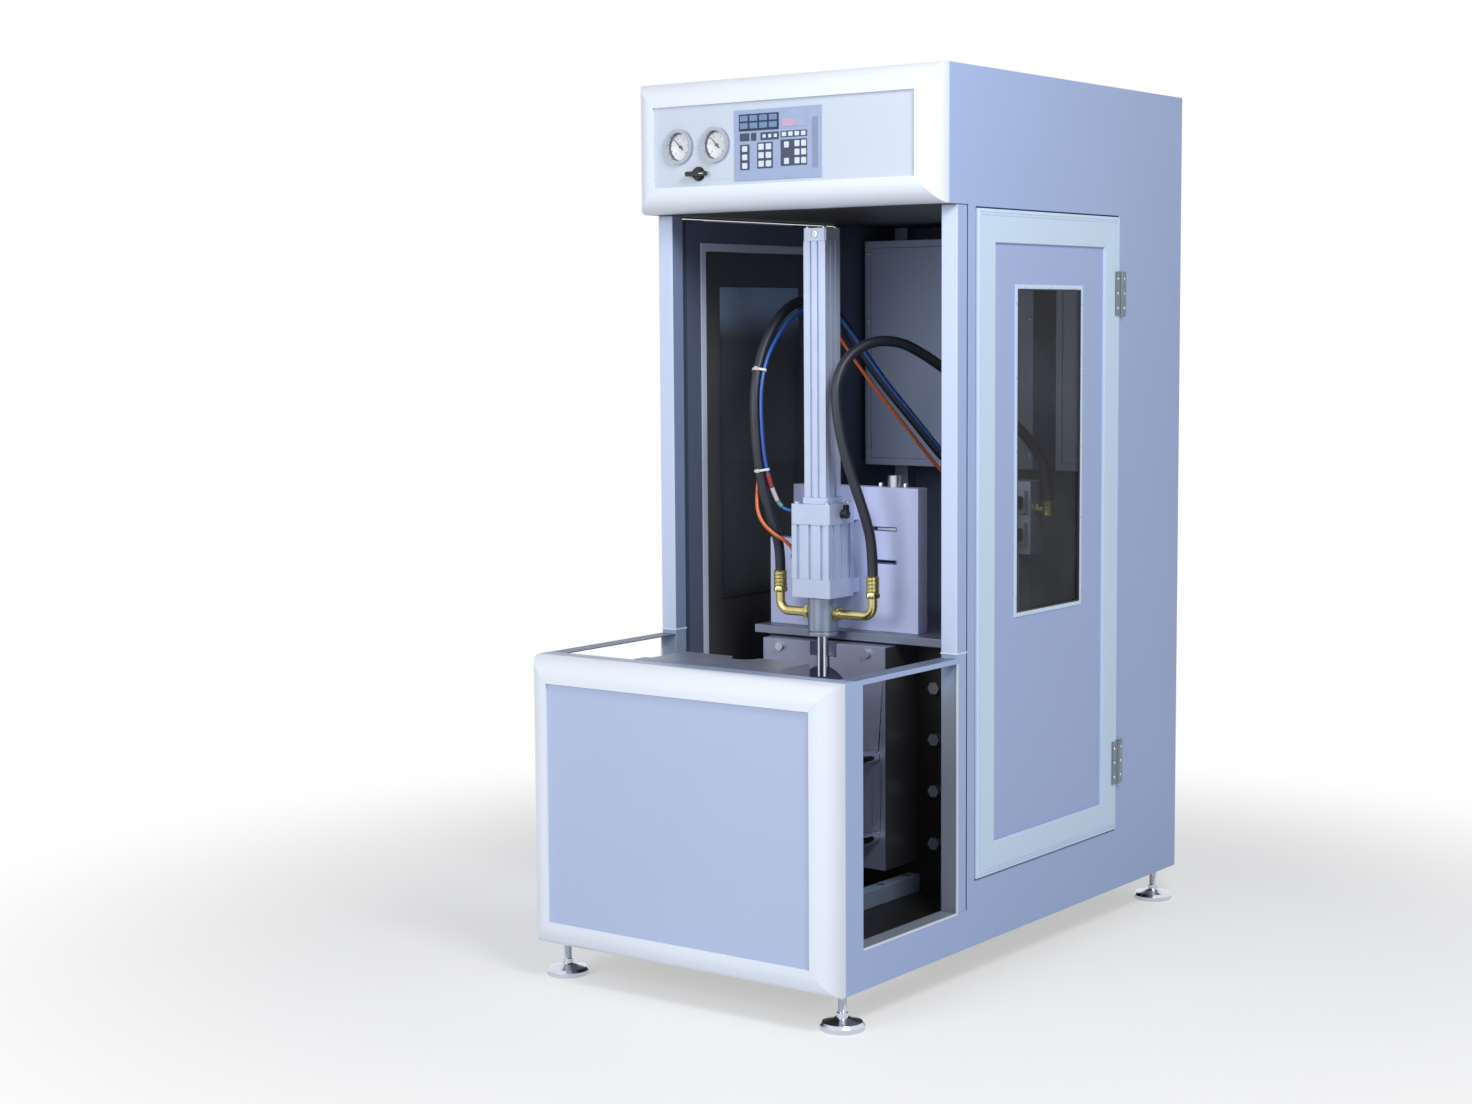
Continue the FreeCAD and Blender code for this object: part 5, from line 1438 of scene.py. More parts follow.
    def cover_screws(self) -> None:
        """Screws round the rear panel and along both sides of the top panel."""
        upward = screw_head(FLUSH_HEAD, self.screw_radius, self.screw_proud)
        backward = facing(upward, Axis.BACK)
        rear = span("rear_panel")
        top = span("top_panel")
        side = rear.high.x - self.screw_inset
        cross = side - self.first_cross_screw
        screws = Shape()
        screws.grid(
            backward, SCREW_STEEL, (-side, rear.high.y, rear.low.z + self.first_screw),
            (0.0, 0.0, self.upright_pitch), 9, (2 * side, 0.0, 0.0), 2,
        )
        screws.grid(
            backward, SCREW_STEEL, (-cross, rear.high.y, rear.low.z + self.screw_inset),
            (cross / 2, 0.0, 0.0), 5, (0.0, 0.0, rear.size.z - 2 * self.screw_inset), 2,
        )
        screws.grid(
            upward, SCREW_STEEL, (-side, top.low.y + self.first_screw, top.high.z),
            (0.0, self.top_pitch, 0.0), 5, (2 * side, 0.0, 0.0), 2,
        )
        screws.piece("cover_screws", SCREW_STEEL)


@dataclass
class Gauge:
    """The needle and the printed face of a panel pressure gauge, and the ring round its dial."""

    side: str
    x: float
    height: float = 1.714
    radius: float = 0.029
    first: float = -135.0
    sweep: float = 270.0
    ink: float = 0.00025
    marks: tuple[tuple[int, float, float], ...] = ((51, 0.88, 0.00028), (11, 0.8, 0.0006))
    arc_steps: int = 54
    ring: float = 0.0012
    ring_height: float = 0.0016
    figure_count: int = 6
    figure_size: float = 0.0058
    figure_reach: float = 0.64

    @property
    def centre(self) -> Point:
        """The middle of the dial's face."""
        return (self.x, span("gauge_dials").low.y, self.height)

    def build(self) -> None:
        """Dresses the needle, prints the dial and adds the ring under the glass."""
        name = self.side + "_gauge"
        dress(name + "_needle", NEEDLE_BLACK, 0.0001)
        scale = Shape()
        for count, inner, wide in self.marks:
            tick = Shape().block(
                (-wide, -self.ink, self.radius * inner), (wide, 0.0, self.radius * 0.95)
            ).data("tick")
            scale.joined(ring_of(
                tick, DIAL_PRINT, self.centre, (0.0, 1.0, 0.0), count, radians(self.first),
                radians(self.sweep / (count - 1)),
            ))
        scale.joined(self.arc().data("arc"))
        scale.piece(name + "_scale", DIAL_PRINT)
        self.figures().piece(name + "_figures", DIAL_PRINT)
        inside = self.radius - self.ring
        Shape().turned([
            (self.radius, 0.0), (self.radius, self.ring_height), (inside, self.ring_height),
            (inside, 0.0), (self.radius, 0.0),
        ], placed(self.centre, Axis.FRONT)).piece(name + "_dial_edge", SOFT_RUBBER)

    def arc(self) -> Shape:
        """The thin line that joins the outer ends of the marks.

        Returns:
            The line, as a run of short plates.
        """
        shape = Shape()
        where = placed(self.centre, Axis.FRONT)
        step = self.sweep / self.arc_steps
        for k in range(self.arc_steps):
            start, stop = (radians(self.first + step * n) for n in (k, k + 1))
            outline = [
                (part * self.radius * sin(angle), part * self.radius * cos(angle))
                for angle, part in ((start, 0.95), (stop, 0.95), (stop, 0.925), (start, 0.925))
            ]
            shape.prism(outline, 0.0, self.ink, where)
        return shape

    def figures(self) -> Shape:
        """Plain figures at every second long mark.

        Returns:
            The figures.
        """
        shape = Shape()
        reach = self.radius * self.figure_reach
        x, y, z = self.centre
        for k in range(self.figure_count):
            words = bpy.data.curves.new("figure", "FONT")
            words.body = str(2 * k)
            words.size = self.figure_size
            words.align_x = "CENTER"
            words.align_y = "CENTER"
            words.extrude = self.ink / 2
            holder = linked("figure", words)
            bpy.context.view_layer.update()
            mesh = evaluated(holder)
            angle = radians(self.first + self.sweep * k / (self.figure_count - 1))
            place = (x + reach * sin(angle), y, z + reach * cos(angle))
            mesh.transform(placed(place, Axis.FRONT))
            shape.joined(mesh)
        return shape


@dataclass(frozen=True)
class Key:
    """One raised field of the key unit, in parts of its width and height from the top left."""

    left: float
    right: float
    top: float
    bottom: float
    finish: Finish
    rise: float = 0.0009


KEY_BLANK = Plastic("key_unit_plastic", srgb(214, 224, 240), 0.35, 700.0, 0.00002)
KEY_DARK = Plastic("key_unit_plastic", srgb(58, 68, 98), 0.3, 700.0, 0.00001)
KEY_STRIP = Plastic("key_unit_plastic", srgb(132, 146, 176), 0.4, 700.0, 0.00002)
DISPLAY = Plastic("key_unit_plastic", srgb(38, 46, 84), 0.12, 300.0, 0.000004)
DIGIT = Plastic("key_unit_plastic", srgb(112, 142, 182), 0.15, 300.0, 0.000004)
LED_PINK = Plastic("key_unit_plastic", srgb(196, 168, 200), 0.3, 300.0, 0.00001)
LED_LILAC = replace(LED_PINK, colour=srgb(166, 176, 212))


@dataclass
class KeyUnit:
    """The plate with displays, keys and lamps on the header."""

    width: float = 0.218
    height: float = 0.143
    corner: float = 0.0014

    def fields(self) -> list[Key]:
        """Every raised field of the plate; none bears lettering.

        Returns:
            The fields.
        """
        keys = [
            Key(0.06, 0.52, 0.06, 0.30, DISPLAY, 0.0008),
            Key(0.07, 0.18, 0.33, 0.44, KEY_DARK),
            Key(0.20, 0.26, 0.33, 0.44, KEY_DARK),
            Key(0.31, 0.52, 0.33, 0.44, KEY_DARK),
            Key(0.56, 0.69, 0.15, 0.27, LED_PINK),
            Key(0.69, 0.82, 0.15, 0.27, LED_LILAC),
            Key(0.90, 0.96, 0.16, 0.86, KEY_STRIP),
        ]
        grounds = (
            (0.07, 0.18, 0.49, 0.85), (0.27, 0.45, 0.47, 0.84), (0.54, 0.84, 0.45, 0.82),
            (0.54, 0.84, 0.33, 0.42),
        )
        keys += [Key(*ground, KEY_DARK, 0.0006) for ground in grounds]
        keys += [
            Key(left, left + 0.09, top, top + 0.08, DIGIT, 0.0011)
            for top in (0.08, 0.185) for left in (0.072 + 0.112 * k for k in range(4))
        ]
        # Left edges and top edges of each block of keys, and a key's width and height.
        blocks = (
            ((0.095,), (0.51, 0.63, 0.75), 0.06, 0.08),
            ((0.285, 0.37), (0.49, 0.61, 0.73), 0.062, 0.085),
            ((0.70, 0.775), (0.47, 0.59, 0.71), 0.055, 0.085),
            ((0.58,), (0.48, 0.71), 0.055, 0.085),
            ((0.555, 0.628, 0.701, 0.774), (0.345,), 0.05, 0.06),
            ((0.335, 0.40, 0.465), (0.36,), 0.035, 0.05),
        )
        for columns, rows, wide, high in blocks:
            keys += [
                Key(u, u + wide, v, v + high, KEY_BLANK, 0.0012) for u in columns for v in rows
            ]
        return keys

    def build(self) -> None:
        """Makes the fields, grouped by finish."""
        dress("membrane_panel", KEY_PLASTIC, 0.0008, 3)
        plate = span("membrane_panel")
        groups: dict[Finish, Shape] = {}
        for key in self.fields():
            shape = groups.setdefault(key.finish, Shape())
            where = placed((
                plate.low.x + self.width * (key.left + key.right) / 2, plate.low.y,
                plate.high.z - self.height * (key.top + key.bottom) / 2,
            ), Axis.FRONT)
            wide = self.width * (key.right - key.left)
            high = self.height * (key.bottom - key.top)
            shape.rounded_plate(wide, high, min(self.corner, wide / 4), -0.0002, key.rise, where)
        for number, (finish, shape) in enumerate(groups.items()):
            shape.piece(f"key_fields_{number}", finish, 0.0003)


@dataclass
class Header:
    """Gauges, key unit and selector."""

    gauges: tuple[Gauge, ...] = (Gauge("left", -0.258), Gauge("right", -0.163))
    line_start: float = 0.016
    line_end: float = 0.004
    line_half: float = 0.0008

    def build(self) -> None:
        """Makes the instruments."""
        dress_all((
            ("gauge_cases", CHROME, 0.0012, 4), ("gauge_dials", DIAL_WHITE, 0.0),
            ("gauge_lenses", LENS_GLASS, 0.0003),
        ))
        for gauge in self.gauges:
            gauge.build()
        KeyUnit().build()
        dress("selector_body", BLACK_PLASTIC, 0.0008, 3)
        dress("selector_knob", BLACK_PLASTIC, 0.0014, 4)
        self.selector_line()

    def selector_line(self) -> None:
        """The white line on the knob."""
        knob = span("selector_knob")
        middle = knob.centre.z
        line = Shape().block(
            (knob.high.x - self.line_start, knob.low.y - 0.00015, middle - self.line_half),
            (knob.high.x - self.line_end, knob.low.y + 0.0004, middle + self.line_half),
        )
        line.piece("selector_line", DIAL_WHITE, body=Body.KNOB)


@dataclass
class Door:
    """One side door: a mitred profile frame, a sheet panel, a window and hinges.

    The side is 1 for the right door and -1 for the left one.
    """

    body: Body
    side: int
    pane: Glass
    profile_width: float = 0.067
    profile_depth: float = 0.030
    outer_radius: float = 0.003
    inner_radius: float = 0.002
    groove_places: tuple[float, float] = (0.007, 0.0125)
    groove: float = 0.0011
    groove_slope: float = 0.0002
    mitre_gap: float = 0.00012
    trim_width: float = 0.009
    window_screw: float = 0.003
    window_screw_inset: float = 0.03
    bead_width: float = 0.018
    bead_height: float = 0.0022
    leaf_screw: float = 0.0036
    leaf_screw_pitch: float = 0.032
    leaf_screw_inset: float = 0.009
    leaf_proud: float = 0.0024

    def __post_init__(self) -> None:
        """Sets its name and the directions of its outer and inner face."""
        self.name = self.body.value
        self.outward, self.inward = (Axis.RIGHT, Axis.LEFT)[::self.side]

    def section(self) -> list[Spot]:
        """The profile of the frame: rounded edges and two fine grooves near the outer one.

        Returns:
            The corners of the section: how far in from the outer edge, and how high.
        """
        high, steps = self.profile_depth, 5
        turns = [pi / 2 * k / steps for k in range(steps + 1)]
        points = [(0.0, 0.0)]
        points += [
            (
                self.outer_radius * (1 - cos(turn)),
                high - self.outer_radius * (1 - sin(turn)),
            )
            for turn in turns
        ]
        floor = high - self.groove
        for place in self.groove_places:
            far = place + self.groove
            points += [
                (place, high), (place + self.groove_slope, floor), (far, floor),
                (far + self.groove_slope, high),
            ]
        points += [
            (
                self.profile_width - self.inner_radius * (1 - sin(turn)),
                high - self.inner_radius * (1 - cos(turn)),
            )
            for turn in turns
        ]
        points.append((self.profile_width, 0.0))
        return points

    def build(self) -> None:
        """Makes the door."""
        frame = span(self.name + "_frame")
        where = placed((frame.face(-self.side), frame.centre.y, frame.centre.z), self.outward)
        Shape().framed(self.section(), frame.size.y, frame.size.z, where, self.mitre_gap).piece(
            self.name + "_profile", DOOR_PAINT, body=self.body, stands_for=[self.name + "_frame"]
        )
        dress_all((
            (self.name + "_panel", DOOR_PANEL_PAINT, 0.0006),
            (self.name + "_pane", self.pane, 0.0004),
            (self.name + "_hinge_leaves", HINGE_STEEL, 0.0005),
        ))
        self.window_trim()
        self.window_screws()
        self.inner_bead()
        self.hinge_screws()

    def window_trim(self) -> None:
        """A pale trim and a rubber lip round the window."""
        hole = hole_in(self.name + "_panel")
        face = span(self.name + "_panel").face(self.side)
        where = placed((face, hole.centre.y, hole.centre.z), self.outward)
        wide = self.trim_width
        strip = [
            (0.0, 0.0), (0.0, 0.0016), (0.0008, 0.0024), (wide - 0.0008, 0.0024), (wide, 0.0016),
            (wide, 0.0),
        ]
        Shape().framed(strip, hole.size.y + 2 * wide, hole.size.z + 2 * wide, where).piece(
            self.name + "_window_trim", DOOR_PAINT, body=self.body
        )
        lip = [(0.0, -0.002), (0.0, 0.0018), (0.0012, 0.003), (0.0028, 0.0018), (0.0028, -0.002)]
        Shape().framed(lip, hole.size.y, hole.size.z, where).piece(
            self.name + "_window_lip", SOFT_RUBBER, body=self.body
        )

    def window_screws(self) -> None:
        """Small screws along the four sides of the window's trim."""
        hole = hole_in(self.name + "_panel")
        raised = span(self.name + "_panel").face(self.side) + self.side * 0.0022
        head = facing(screw_head(PAN_HEAD, self.window_screw), self.outward)
        half = self.trim_width / 2
        inset = self.window_screw_inset
        step_y = (hole.size.y - 2 * inset) / 2
        step_z = (hole.size.z - 2 * inset) / 4
        screws = Shape()
        screws.grid(
            head, SCREW_STEEL, (raised, hole.low.y + inset, hole.low.z - half),
            (0.0, step_y, 0.0), 3, (0.0, 0.0, hole.size.z + 2 * half), 2,
        )
        screws.grid(
            head, SCREW_STEEL, (raised, hole.low.y - half, hole.low.z + inset),
            (0.0, 0.0, step_z), 5, (0.0, hole.size.y + 2 * half, 0.0), 2,
        )
        screws.piece(self.name + "_window_screws", SCREW_STEEL, body=self.body)

    def inner_bead(self) -> None:
        """The bead that holds the panel against the frame, and a pale strip along the frame's top
        edge as a painted highlight.
        """
        frame = span(self.name + "_frame")
        inner = frame.face(-self.side)
        where = placed((inner, frame.centre.y, frame.centre.z), self.inward)
        wide, high = self.bead_width, self.bead_height
        inset = 2 * (self.profile_width - wide)
        section = [
            (0.0, -0.001), (0.0, high - 0.001), (0.001, high), (wide - 0.001, high),
            (wide, high - 0.001), (wide, -0.001),
        ]
        Shape().framed(section, frame.size.y - inset, frame.size.z - inset, where).piece(
            self.name + "_panel_bead", BEAD_PAINT, body=self.body
        )
        # A pale strip along the frame's top inner edge: a painted highlight.
        near, far = sorted((inner, inner - self.side * 0.0015))
        Shape().block(
            (near, frame.low.y + 0.06, frame.high.z - 0.003),
            (far, frame.high.y - 0.2, frame.high.z - 0.0002),
        ).piece(self.name + "_top_highlight_strip", EDGE_PAINT, body=self.body)

    def hinge_screws(self) -> None:
        """Three countersunk screws in each leaf, on the door and on the cabinet."""
        head = facing(screw_head(PAN_HEAD, self.leaf_screw), self.outward)
        fixed = [box for box in solid_spans("hinge_fixed_leaves") if box.centre.x * self.side > 0]
        cabinet = span(self.name.replace("door", "side_panel")).face(self.side)
        moving = solid_spans(self.name + "_hinge_leaves")
        inset, pitch = self.leaf_screw_inset, self.leaf_screw_pitch
        for part, body, face, places in (
            (
                "_hinge_screws", self.body, span(self.name + "_frame").face(self.side),
                [(box.low.y + inset, box.centre.z) for box in moving],
            ),
            (
                "_fixed_leaf_screws", Body.CABINET, cabinet,
                [(box.high.y - inset, box.centre.z) for box in fixed],
            ),
        ):
            screws = Shape()
            for y, z in places:
                screws.grid(
                    head, SCREW_STEEL, (face + self.side * self.leaf_proud, y, z - pitch),
                    (0.0, 0.0, pitch), 3,
                )
            screws.piece(self.name + part, SCREW_STEEL, body=body)


@dataclass
class Feet:
    """Levelling feet with a thread on each stem."""

    stem: float = 0.008
    pitch: float = 0.002
    thread_bottom: float = 0.033
    turns: int = 16

    def build(self) -> None:
        """Makes the feet."""
        dress("levelling_feet", POLISHED, 0.0008)
        root = self.stem * 0.97
        ring = Shape().turned(
            [(root, 0.0), (self.stem * 1.06, self.pitch / 2), (root, self.pitch)], sides=24
        ).data("thread")
        threads = Shape()
        for pad in solid_spans("levelling_feet"):
            if pad.low.z < MM:
                threads.grid(
                    ring, POLISHED, (pad.centre.x, pad.centre.y, self.thread_bottom),
                    (0.0, 0.0, self.pitch), self.turns,
                )
        threads.piece("foot_threads", POLISHED)


@dataclass
class Clamp:
    """Bed, rails, platens, mould halves and the closing cylinder."""

    platen_screw_x: float = 0.085
    platen_screw_low: float = 0.36
    platen_screw_rise: float = 0.25
    nipple_y: float = -0.489
    nipple_heights: tuple[float, float] = (0.232, 0.400)
    rail_screw_inset: float = 0.015
    rail_screw_first: float = 0.03
    rail_screw_pitch: float = 0.0995
    rail_screw_count: int = 6

    def build(self) -> None:
        """Makes the clamp."""
        dress_all((
            ("bed_plate", BLACK_STEEL, 0.0015),
            ("guide_rails", RAIL_STEEL, 0.0015),
            ("rear_platen", BLACK_STEEL, 0.0015),
            ("front_platen", MACHINED, 0.0015),
            ("rear_mould_half", REAR_MOULD_METAL, 0.0012),
            ("front_mould_half", MOULD_METAL, 0.0012),
            ("machine_screws", SCREW_STEEL, 0.0009),
            ("tie_bars", POLISHED, 0.0012),
            ("crosshead", MACHINED, 0.0015),
            ("clamp_piston_rod", POLISHED, 0.001),
            ("clamp_cylinder_barrel", CYLINDER_METAL, 0.0005),
            ("clamp_cylinder_caps", CYLINDER_METAL, 0.0015),
            ("clamp_cylinder_tie_rods", POLISHED, 0.0008),
        ))
        self.platen_screws()
        self.cooling_nipples()
        self.rail_screws()

    def platen_screws(self) -> None:
        """Cap screws in the front face of the front platen, which hold its mould half."""
        Shape().grid(
            facing(screw_head(CAP_SCREW, 0.009, 0.01), Axis.FRONT), SCREW_STEEL,
            (-self.platen_screw_x, span("front_platen").low.y, self.platen_screw_low),
            (2 * self.platen_screw_x, 0.0, 0.0), 2, (0.0, 0.0, self.platen_screw_rise), 2,
        ).piece("front_platen_screws", SCREW_STEEL, body=Body.CLAMP)

    def cooling_nipples(self) -> None:
        """Hose nipples of the cooling channels in the right side of the front mould half."""
        profile = capped([
            *hexagon_part(0.017, 0.0, 0.008), (0.0055, 0.0085), (0.0055, 0.011),
            *ribs([(0.0062, 0.0), (0.005, 0.004)], 0.011, 0.0042, 4),
            (0.0032, 0.0285), (0.0032, 0.015),
        ])
        face = span("front_mould_half").high.x
        nipples = Shape()
        for z in self.nipple_heights:
            nipples.turned(profile, placed((face, self.nipple_y, z), Axis.RIGHT), 24)
        nipples.piece("mould_nipples", SCREW_STEEL, body=Body.CLAMP)

    def rail_screws(self) -> None:
        """Countersunk cap screws along both guide rails."""
        rail = span("guide_rails")
        screw = Shape().turned([
            (0.0, -0.0002), (0.0095, -0.0002), (0.0095, 0.0003), (0.0088, 0.0003), (0.0088, 0.0),
            (0.0072, 0.0), (0.0072, 0.0002), (0.0066, 0.0005), (0.0036, 0.0005),
            (0.003, 0.0002, Edge.HEXAGON), (0.003, 0.0001, Edge.HEXAGON), (0.0, 0.0001),
        ], sides=24).data("sunk_screw")
        Shape().grid(
            screw, SCREW_STEEL,
            (rail.low.x + self.rail_screw_inset, rail.low.y + self.rail_screw_first, rail.high.z),
            (0.0, self.rail_screw_pitch, 0.0), self.rail_screw_count,
            (rail.size.x - 2 * self.rail_screw_inset, 0.0, 0.0), 2,
        ).piece("rail_screws", SCREW_STEEL)


@dataclass
class HeadUnit:
    """The blowing head, its two cylinders and their plates."""

    stretch_screw_reach: float = 0.0205
    seal_screw_reach: float = 0.0385
    cushion_screw_reach: float = 0.0285
    cushion_screw_drop: float = 0.013
    plate_face: float = -0.114
    slide_left: float = 0.088
    slide_right: float = 0.1345
    slide_bottom: float = 0.9092
    slide_top: float = 0.9148
    plate_screw: Point = (0.086, -0.0965, 1.0)
    plate_screw_pitch: float = 0.062

    def build(self) -> None:
        """Makes the head unit."""
        dress_all((
            ("head_base_plate", MACHINED, 0.0015),
            ("head_back_plate", BACK_PLATE_PAINT, 0.0015),
            ("seal_cylinder_barrel", CYLINDER_METAL, 0.0006),
            ("stretch_cylinder_barrel", CYLINDER_METAL, 0.0006),
            ("seal_cylinder_caps", CYLINDER_METAL, 0.0009),
            ("stretch_cylinder_caps", CYLINDER_METAL, 0.0009),
            ("blow_head", HEAD_METAL, 0.0012, 3),
            ("seal_piston_rod", POLISHED, 0.0008),
            ("stretch_rod", POLISHED, 0.0006),
        ))
        self.cap_screws()
        self.plate_parts()

    def cap_screws(self) -> None:
        """Cap screws in the corners of the cylinder caps, and the air cushion's adjusting screw."""
        screws = Shape()
        stretch_top = span("stretch_cylinder_caps").high.z
        for reach, top, screw in (
            (self.stretch_screw_reach, stretch_top, screw_head(CAP_SCREW, 0.0042, 0.0035)),
            (self.seal_screw_reach, span("seal_cylinder_caps").high.z,
             screw_head(CAP_SCREW, 0.006, 0.0045)),
        ):
            screws.grid(
                screw, SCREW_STEEL, (-reach, NOZZLE_Y - reach, top),
                (2 * reach, 0.0, 0.0), 2, (0.0, 2 * reach, 0.0), 2,
            )
        place = (0.0, NOZZLE_Y - self.cushion_screw_reach, stretch_top - self.cushion_screw_drop)
        screws.turned([
            (0.0, 0.0), (0.0085, 0.0), (0.0085, 0.0018), (0.0072, 0.0022), (0.0055, 0.0022),
            (0.0055, 0.0008), (0.0024, 0.0008), (0.0024, 0.0016), (0.0, 0.0016),
        ], placed(place, Axis.FRONT), 24)
        screws.piece("cylinder_cap_screws", SCREW_STEEL)

    def plate_parts(self) -> None:
        """The steel block in the back plate's upper right slot, and two screws on its top."""
        Shape().block(
            (self.slide_left, self.plate_face + 0.0012, self.slide_bottom),
            (self.slide_right, self.plate_face + 0.012, self.slide_top),
        ).piece("slot_slide_block", SCREW_STEEL, 0.0006)
        Shape().grid(
            screw_head(CAP_SCREW, 0.0055, 0.0085), SCREW_STEEL, self.plate_screw,
            (self.plate_screw_pitch, 0.0, 0.0), 2,
        ).piece("back_plate_screws", SCREW_STEEL)


@dataclass
class Elbow:
    """A brass elbow on the blowing head, with the hose's crimped ferrule.

    The side is 1 for the right elbow and -1 for the left one.
    """

    side: int
    reach: float
    height: float = 0.735
    pipe: float = 0.010
    bend: float = 0.022
    bend_steps: int = 12
    nut: float = 0.027
    nut_height: float = 0.012
    nut_bottom: float = 0.774
    pipe_top: float = 0.79

    def build(self) -> Shape:
        """Puts pipe, nuts and ferrule together.

        Returns:
            The working mesh.
        """
        head = span("blow_head").high.x
        turn_x = self.reach - self.bend
        line = [(head - MM, self.height), (turn_x, self.height)]
        for k in range(1, self.bend_steps + 1):
            angle = pi / 2 * k / self.bend_steps
            line.append((
                turn_x + self.bend * sin(angle),
                self.height + self.bend * (1 - cos(angle)),
            ))
        line.append((self.reach, self.pipe_top))
        shape = Shape().swept(
            [Vector((self.side * x, NOZZLE_Y, z)) for x, z in line], self.pipe, 24
        )
        nut = hexagon_part(self.nut, 0.0, self.nut_height)
        shape.turned(
            capped([*nut, (0.0115, 0.0125), (0.0115, 0.016)]),
            placed(
                (self.side * head, NOZZLE_Y, self.height),
                Axis.RIGHT if self.side > 0 else Axis.LEFT,
            ), 24,
        )
        ferrule = capped([
            *nut, (0.0118, 0.0122),
            *ribs(
                [(0.0138, 0.0), (0.014, 0.0008), (0.014, 0.0052), (0.0128, 0.0062)],
                0.0135, 0.0078, 4,
            ),
            (0.0138, 0.0452), (0.0128, 0.046),
        ])
        up = placed((self.side * self.reach, NOZZLE_Y, self.nut_bottom), Axis.UP, 15.0)
        return shape.turned(ferrule, up, 24)


@dataclass
class Air:
    """Elbows and fittings, valve block, silencer, air inlet and the electrical boxes."""

    riser: Point = (0.300, 0.239, 0.925)
    riser_arm: Point = (0.272, 0.239, 0.938)
    valve_ports: tuple[tuple[float, Point], ...] = (
        (0.013, (0.222, 0.239, 0.972)), (0.007, (0.222, 0.223, 0.990)),
        (0.007, (0.222, 0.232, 0.940)),
    )
    upper_port: Point = (-0.049, NOZZLE_Y, 0.948)
    lower_port: Point = (-0.049, NOZZLE_Y, 0.795)
    lower_rise: Point = (-0.072, NOZZLE_Y, 0.789)
    silencer_port: Point = (0.049, NOZZLE_Y, 0.9465)
    silencer: Point = (0.060, NOZZLE_Y, 0.9465)
    valve_x: float = 0.025
    valve_heights: tuple[float, float] = (0.885, 0.955)
    lid_lap: float = 0.0008
    lid_screw: float = 0.004
    lid_screw_inset: float = 0.009
    lid_screw_first: float = 0.03

    def build(self) -> None:
        """Makes the air parts."""
        dress_all((
            ("valve_block", CYLINDER_METAL, 0.0012), ("air_inlet", SCREW_STEEL, 0.0008),
            ("electrical_boxes", BOX_PAINT, 0.0015),
        ))
        elbows = Elbow(-1, 0.110).build()
        elbows.joined(Elbow(1, 0.126).build().data("right_elbow"))
        elbows.piece("head_elbows_turned", BRASS, body=Body.HEAD, stands_for=["head_elbows"])
        self.fittings()
        self.silencer_elbow()
        self.valves()
        self.box_lids()

    def fittings(self) -> None:
        """Turned and hexagonal parts of each port."""
        crimps = ribs(
            [(0.0128, 0.0), (0.013, 0.0006), (0.013, 0.005), (0.012, 0.006)], 0.008, 0.0078, 3
        )
        rows = [
            ([(0.012, 0.0), (0.013, 0.001), (0.013, 0.006), *crimps, (0.0128, 0.0325),
              (0.012, 0.033)], self.riser, Axis.UP),
            ([*hexagon_part(0.024, 0.0, 0.010), (0.009, 0.0105), (0.009, 0.028)],
             self.riser_arm, Axis.RIGHT),
        ]
        rows += [
            ([*hexagon_part(radius * 1.72, 0.0, 0.0062), (radius * 0.9, 0.0065), (radius, 0.007),
              (radius, 0.0094), (radius * 0.94, 0.010)], place, Axis.LEFT)
            for radius, place in self.valve_ports
        ]
        rows += [
            ([*hexagon_part(0.0128, 0.0, 0.006), (0.006, 0.0065), (0.007, 0.007),
              (0.007, 0.0172), (0.0064, 0.018)], self.upper_port, Axis.LEFT),
            ([(0.0062, 0.0), (0.007, 0.001), (0.007, 0.014), (0.0064, 0.0145), (0.0064, 0.018),
              *hexagon_part(0.0136, 0.018, 0.026), (0.0062, 0.0265), (0.007, 0.0275),
              (0.007, 0.046), (0.0064, 0.047)], self.lower_rise, Axis.UP),
        ]
        shape = Shape()
        for rings, place, axis in rows:
            shape.turned(capped(rings), placed(place, axis), 24)
        shape.turned([
            (0.0, 0.0), *hexagon_part(0.0118, 0.0, 0.006), (0.006, 0.0065), (0.006, 0.0225),
            (0.0, 0.0235),
        ], placed(self.lower_port, Axis.LEFT), 24)
        shape.piece("port_fittings_turned", BRASS, stands_for=["port_fittings"])

    def silencer_elbow(self) -> None:
        """The black elbow at the seal cylinder's right port, with its ribbed silencer."""
        elbow = Shape()
        elbow.turned(
            capped([
                *hexagon_part(0.0178, 0.0, 0.007), (0.009, 0.0075), (0.009, 0.0155), (0.0085, 0.016)
            ]), placed(self.silencer_port, Axis.RIGHT), 24,
        )
        elbow.turned(
            capped([
                (0.007, 0.0),
                *ribs([(0.007, 0.0), (0.0062, 0.0005), (0.0062, 0.0012)], 0.0092, 0.0018, 6),
                (0.0066, 0.0195), (0.005, 0.020),
            ]), placed(self.silencer, Axis.UP), 24,
        )
        elbow.piece("silencer_elbow", BLACK_PLASTIC)

    def valves(self) -> None:
        """Two solenoid valves on the front face of the valve block, with their plugs."""
        block = span("valve_block")
        bodies, plugs = Shape(), Shape()
        for z in self.valve_heights:
            where = placed((block.low.x + self.valve_x, block.low.y, z), Axis.FRONT)
            bodies.rounded_plate(0.036, 0.05, 0.003, 0.0, 0.014, where)
            plugs.rounded_plate(0.028, 0.028, 0.004, 0.014, 0.040, where)
        bodies.piece("valve_bodies", CYLINDER_METAL, 0.001)
        plugs.piece("valve_coils", BLACK_PLASTIC, 0.0015, 3)

